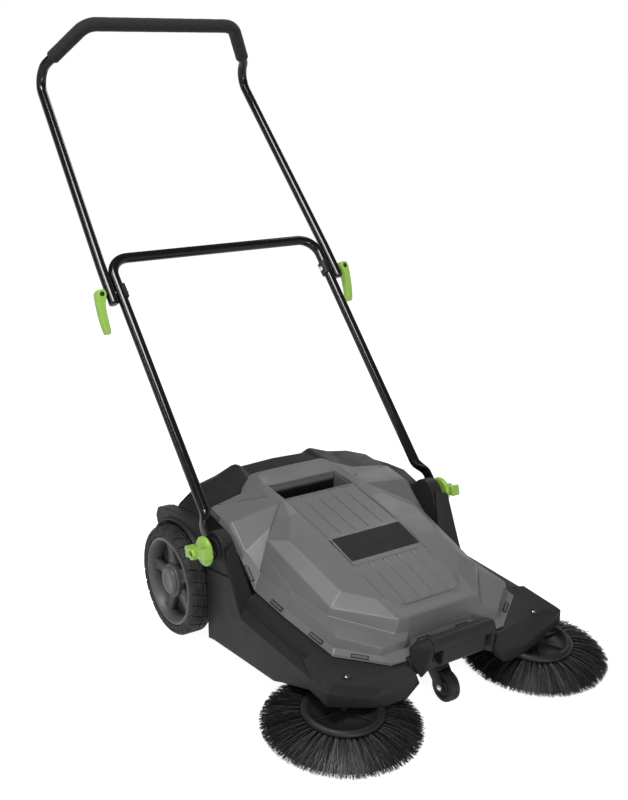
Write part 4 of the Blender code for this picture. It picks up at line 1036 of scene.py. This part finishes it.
def make_housing(side, sign):
    """Side moulding: flat wall, facet in front of the bracket and two stepped grooves under the lid."""
    points = mm({"w0": (WALL_X, -19.5, 26), "w1": (WALL_X, -40, 30), "w2": (WALL_X, -236, 43),
                 "w3": (WALL_X, -282, 60), "w4": (WALL_X, -338, 77.5), "f0": (WALL_X, -19.5, 158.5),
                 "f1": (WALL_X, -100.6, 169.8), "f2": (WALL_X, -133.1, 111), "f3": (WALL_X, -342.6, 98.7),
                 "r0": (225, -19.5, 27), "r1": (225, -19.5, 158), "u1": (236, -40, 30),
                 "u2": (236, -236, 43), "u3": (236, -282, 60), "a0": (239, -88, 214),
                 "a4": (219, -77, 222), "g0": (204, -110, 132), "g1": (211, -112, 128.5),
                 "g2": (217, -114, 120), "g3": (219.2, -115, 116), "g4": (223.5, -118, 118),
                 "h0": (202.5, -293, 115), "h1": (211, -300, 113.7), "h2": (216.5, -292, 106),
                 "h3": (219.2, -285, 102), "h4": (224, -283, 105), "t1": (228, -312, 116),
                 "k0": (194, -107.5, 136.5), "k1": (193, -200, 125.5), "k2": (186, -325, 111.5)})
    faces = ["k0 k1 g0", "k1 h0 g0", "k1 k2 h0", "f0 w0 w1 w2 f2 f1", "f2 w2 w3 w4 f3", "f0 r1 r0 w0",
             "w1 u1 u2 w2", "w2 u2 u3 w3", "a4 a0 f1 f2 g4 g3 g2 g1 g0", "g0 g1 h1 h0", "g1 g2 h2 h1",
             "g2 g3 h3 h2", "g3 g4 h4 h3", "g4 f2 f3 h4", "h4 f3 t1", "h1 h2 h3 h4 t1"]
    bm = bmesh.new()
    facets(bm, points, faces, sign)
    shell = add(f"housing_{side}", bm, DARK, "chassis", (f"side_housing_{side}",), 60)
    skin(shell, 0.0024, 0.0016)


def make_pod(side, sign):
    """Brush pod: raised rim, chamfers and a sunken screw in its top, its well and cross recess painted black
    as shade.
    """
    points = mm({"h0": (202.5, -293, 115), "h1": (211, -300, 113.7), "t1": (228, -312, 116),
                 "f3": (WALL_X, -342.6, 98.7), "l3": (WALL_X, -338, 77.5), "u8": (193, -329, 112),
                 "u9": (121, -389, 98), "c1": (222.5, -374, 99), "c2": (142, -393.5, 74.5),
                 "c3": (116.5, -393, 87), "p1": (242, -389, 98.5), "p2": (242, -389, 73),
                 "q1": (159, -397.5, 64), "q2": (143, -397.5, 43), "n1": (101, -405, 49),
                 "n2": (77, -405, 68), "n3": (82, -400, 86), "n4": (94, -395, 99), "b1": (96, -374, 56),
                 "b2": (126, -364, 60), "b3": (186, -334, 74), "b4": (86, -380, 88),
                 "j8": (178, -320, 111.5), "j9": (112, -368, 98.5), "j0": (80, -370, 97)})
    faces = ["h0 u8 j8", "u8 u9 j9 j8", "u9 n4 j0 j9", "h0 h1 c1 u9 u8", "u9 c1 c2 c3", "h1 t1 p1 c1",
             "c1 p1 q1 c2", "c2 q1 n2 n3 n4 c3", "u9 c3 n4", "q1 q2 n1 n2", "t1 f3 p1", "f3 l3 p2 p1",
             "p1 p2 q2 q1", "n2 n1 b1 b4 n3", "n4 n3 b4", "n1 q2 b2 b1", "l3 b3 p2"]
    bm = bmesh.new()
    facets(bm, points, faces, sign)
    skin(add(f"pod_{side}", bm, DARK, "chassis", (f"brush_pod_{side}",), 60), 0.0022, 0.0016)
    centre, up = Vector((sign * 0.1945, -0.3715, 0.101)), Vector((sign * -0.03, -0.26, 0.965)).normalized()
    bm = bmesh.new()
    turned(bm, mm([(0, 0.2), (5.8, 0.2), (6.4, 0.6), (7, 0.4), (7.2, -2), (0, -2)]), centre, up, 48)
    # Black on dark plastic: painted shade in the screw's well
    add(f"screw_well_{side}", bm, BLACK, "chassis", slot="dark_plastic")
    bm = bmesh.new()
    turned(bm, mm([(0, 1.2), (1.2, 1.2), (2.2, 0.9), (2.9, 0.3), (3.1, -1), (0, -1)]), centre, up, 40)
    add(f"screw_head_{side}", bm, ZINC, "chassis", (f"pod_screw_{side}",))
    bm = bmesh.new()
    shape = up.to_track_quat("Z", "Y").to_matrix()
    for angle in (20, 110):
        turn = shape @ Matrix.Rotation(math.radians(angle), 3, "Z")
        box(bm, (-0.0022, -0.0005, 0.0008), (0.0022, 0.0005, 0.00135), turn, centre)
    # Black bars across the zinc head: painted shade in its cross recess
    add(f"screw_cross_painted_shade_{side}", bm, BLACK, "chassis", slot="zinc_steel")


def make_rear_cover():
    """Black rear hood, its crest rising to a wedge-shaped horn on each side."""
    rings = mm([[(0, 196, 45), (60, 196, 45), (88, 195, 45), (110, 194.5, 45), (140, 193, 45),
                 (172, 191, 45), (214.2, 188, 45)],
                [(0, 192, 160), (60, 192, 160), (88, 191, 160), (110, 190.5, 160), (140, 189, 160),
                 (172, 187, 160), (214.2, 182, 160)],
                [(0, 166, 253), (66, 166, 250.5), (78.5, 166, 254.5), (90, 165.5, 254), (125, 164, 245),
                 (162, 156, 240), (213, 128, 224)],
                [(0, 152, 262), (72, 152, 259.2), (81, 152.5, 266), (89.5, 152, 265.8), (125, 149, 253),
                 (163, 138, 250), (199, 120, 241)],
                [(0, 143, 264), (72, 143, 261.5), (80.5, 143, 267), (89, 142.5, 266.6), (125, 139, 255),
                 (163, 126, 252.5), (197, 112, 241.5)],
                [(0, 95.5, 257.5), (78, 95, 256.5), (90, 87, 254), (104, 77.5, 249.5), (121, 68, 244.5),
                 (160, 56.5, 239.5), (199.5, 49.5, 234.5)]])
    bm = bmesh.new()
    rows = [[bm.verts.new(point) for point in ring] for ring in rings]
    for one, two in zip(rows, rows[1:]):
        for k in range(len(one) - 1):
            bm.faces.new((one[k], one[k + 1], two[k + 1], two[k]))
    mirrored_x(bm)
    skin(add("rear_hood", bm, BLACK, "chassis", ("rear_cover",), 60), 0.0026, 0.0022, 3, 10)


def make_fascia():
    """Front fascia between the pods: side cheeks, set-back lower face and the rounded lifting bar."""
    bm = bmesh.new()
    outline = mm([(-364, 106), (-396, 104), (-401, 96), (-399, 83), (-392, 76), (-364, 74)])
    prism(bm, outline, -0.069, 0.069)
    box(bm, (-0.088, -0.39, 0.074), (0.088, -0.34, 0.104))
    bevel(add("fascia_face", bm, DARK, "chassis", ("front_fascia",), 50), 0.0022, 3)
    for side, sign in SIDES:
        corners = mm([(84.5, -386, 122.5), (65.7, -400, 136.8), (65.7, -418.5, 129), (62.3, -411, 91.9),
                      (74.3, -404, 74.4), (84.7, -388, 97.8), (72, -370, 108), (60, -370, 120),
                      (58, -400, 91.9), (60, -370, 74.4), (60, -410, 143), (60, -418.5, 136.6)])
        bm = bmesh.new()
        bmesh.ops.convex_hull(bm, input=[bm.verts.new((sign * x, y, z)) for x, y, z in corners])
        bmesh.ops.dissolve_limit(bm, angle_limit=math.radians(2), verts=bm.verts, edges=bm.edges)
        arm = add(f"fascia_arm_{side}", bm, DARK, "chassis", (), 60)
        even(bevel(arm, 0.0018, 3, 12, False))
    bm = bmesh.new()
    upper = mm([(-395, 139), (-411, 142.5), (-417.5, 140.5), (-420.5, 134.5), (-419.5, 121.3),
                (-398, 121.3)])
    lower = mm([(-419.4, 122.5), (-416.5, 100), (-415, 94), (-411, 90.5), (-395, 92.5), (-395, 122.5)])
    prism(bm, upper, -0.063, 0.063)
    prism(bm, lower, -0.0438, 0.0438)
    even(bevel(add("lifting_bar", bm, DARK, "chassis", (), 60), 0.0022, 4, 16, False))


def make_bracket(side, sign):
    """Handle bracket: round boss round the knob bolt on a leg that runs down to the housing."""
    bm = bmesh.new()
    boss_r, low, high = 0.03, 0.215, 0.2385
    outline = [(PIVOT_Y + boss_r * math.cos(a), PIVOT_Z + boss_r * math.sin(a))
               for a in (math.radians(-12 + 186 * k / 40) for k in range(41))]
    outline += [(-0.1, 0.156), (-0.0925, 0.1475), (-0.0195, 0.159), (-0.0165, 0.174)]
    prism(bm, outline, sign * low, sign * high)
    bracket = add(f"bracket_{side}", bm, DARK, "chassis", (f"handle_bracket_{side}",), 40)
    bevel(bracket, 0.0022, 3)
    bm = bmesh.new()
    ring = [(0.0085, high - 0.001), (0.0085, high + 0.0024), (0.018, high + 0.0024), (0.0196, high + 0.001),
            (0.0198, high - 0.001)]
    turned(bm, ring, (0, PIVOT_Y, PIVOT_Z), (sign, 0, 0), 64, True)
    add(f"bracket_face_{side}", bm, DARK, "chassis", (), 40)


def make_arch(side, sign):
    """Wheel arch: a fender skin with a rounded outer rim over the tyre."""
    low, high = 0.214, 0.244
    inner_r, outer_r = 0.105, 0.112
    rise = high - 0.0035
    bm = bmesh.new()
    rings = []
    for k in range(29):
        angle = math.radians(146 - k * 112 / 28)
        (iy, iz), (oy, oz) = ((WHEEL_Y + radius * math.cos(angle), WHEEL_Z + radius * math.sin(angle))
                              for radius in (inner_r, outer_r))
        rings.append([bm.verts.new((sign * x, iy + (oy - iy) * part, iz + (oz - iz) * part)) for x, part in
                      ((low, 0), (rise, 0), (high, 0.35), (high, 0.75), (rise, 1), (low, 1))])
    loft(bm, rings)
    add(f"arch_rim_{side}", bm, DARK, "chassis", (f"wheel_arch_{side}",), 40)
    outline = mm([(-15, 160), (3, 179), (20, 194.5), (42, 206), (83, 210), (125, 202), (148, 190),
                  (170, 170), (178, 190), (170, 208), (145, 216), (95, 221.5), (42, 223.5), (-2, 210),
                  (-15.5, 190)])
    bm = bmesh.new()
    prism(bm, outline, sign * low, sign * (high - 0.006))
    bevel(add(f"arch_web_{side}", bm, DARK, "chassis", (), 40), 0.0022, 3)


def make_caster():
    """Caster: stamped fork, moulded wheel with a grooved tread, bolt."""
    low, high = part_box("caster_wheel")
    centre = Vector((0, (low.y + high.y) / 2 - ORIGIN_Y, (low.z + high.z) / 2))
    half, radius = high.x, (high.z - low.z) / 2
    bm = bmesh.new()
    half_tread = [(0.0036, half - 0.0012), (0.007, half), (0.01, half), (0.0118, half - 0.0026),
                  (0.0165, half - 0.0026), (0.0182, half - 0.0002), (radius - 0.0026, half),
                  (radius - 0.0007, half - 0.0016), (radius, half - 0.0042)]
    groove = [(radius, -0.0012), (radius - 0.0011, -0.0006), (radius - 0.0011, 0.0006), (radius, 0.0012)]
    tread = [(r, -x) for r, x in half_tread] + groove + half_tread[::-1]
    turned(bm, tread, centre, (1, 0, 0), 96, True)
    add("caster_tread", bm, TYRE, "caster_wheel", ("caster_wheel",), 30)
    dress_node("caster_fork", BLACK, 0.0012, 3)
    bm = bmesh.new()
    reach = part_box("caster_fork")[1].x + 0.0003
    head = mm([(0, 2.8), (2.2, 2.8), (2.7, 2.2), (2.8, 1), (4.4, 0.8), (4.8, 0.4), (4.8, 0), (0, 0)])
    for way in (-1, 1):
        turned(bm, [(radius, reach + height) for radius, height in head], centre, (way, 0, 0), 36)
    turned(bm, [(0.0032, -reach), (0.0032, reach)], centre, (1, 0, 0), 24)
    add("caster_bolt", bm, ZINC, "caster_fork", ("caster_axle_bolt",))


make_rear_cover()
make_fascia()
make_caster()
for name, finish, width in (("caster_mount", BLACK, 0.0015), ("roller_hood", BLACK, 0.0008),
                            ("cross_beam", BLACK, 0.0015), ("dust_lip", RUBBER, 0.0005)):
    dress_node(name, finish, width)
for side_name, side_sign in SIDES:
    make_housing(side_name, side_sign)
    make_pod(side_name, side_sign)
    make_bracket(side_name, side_sign)
    make_arch(side_name, side_sign)
    dress_node(f"frame_plate_{side_name}", BLACK, 0.0006)

bpy.context.view_layer.update()
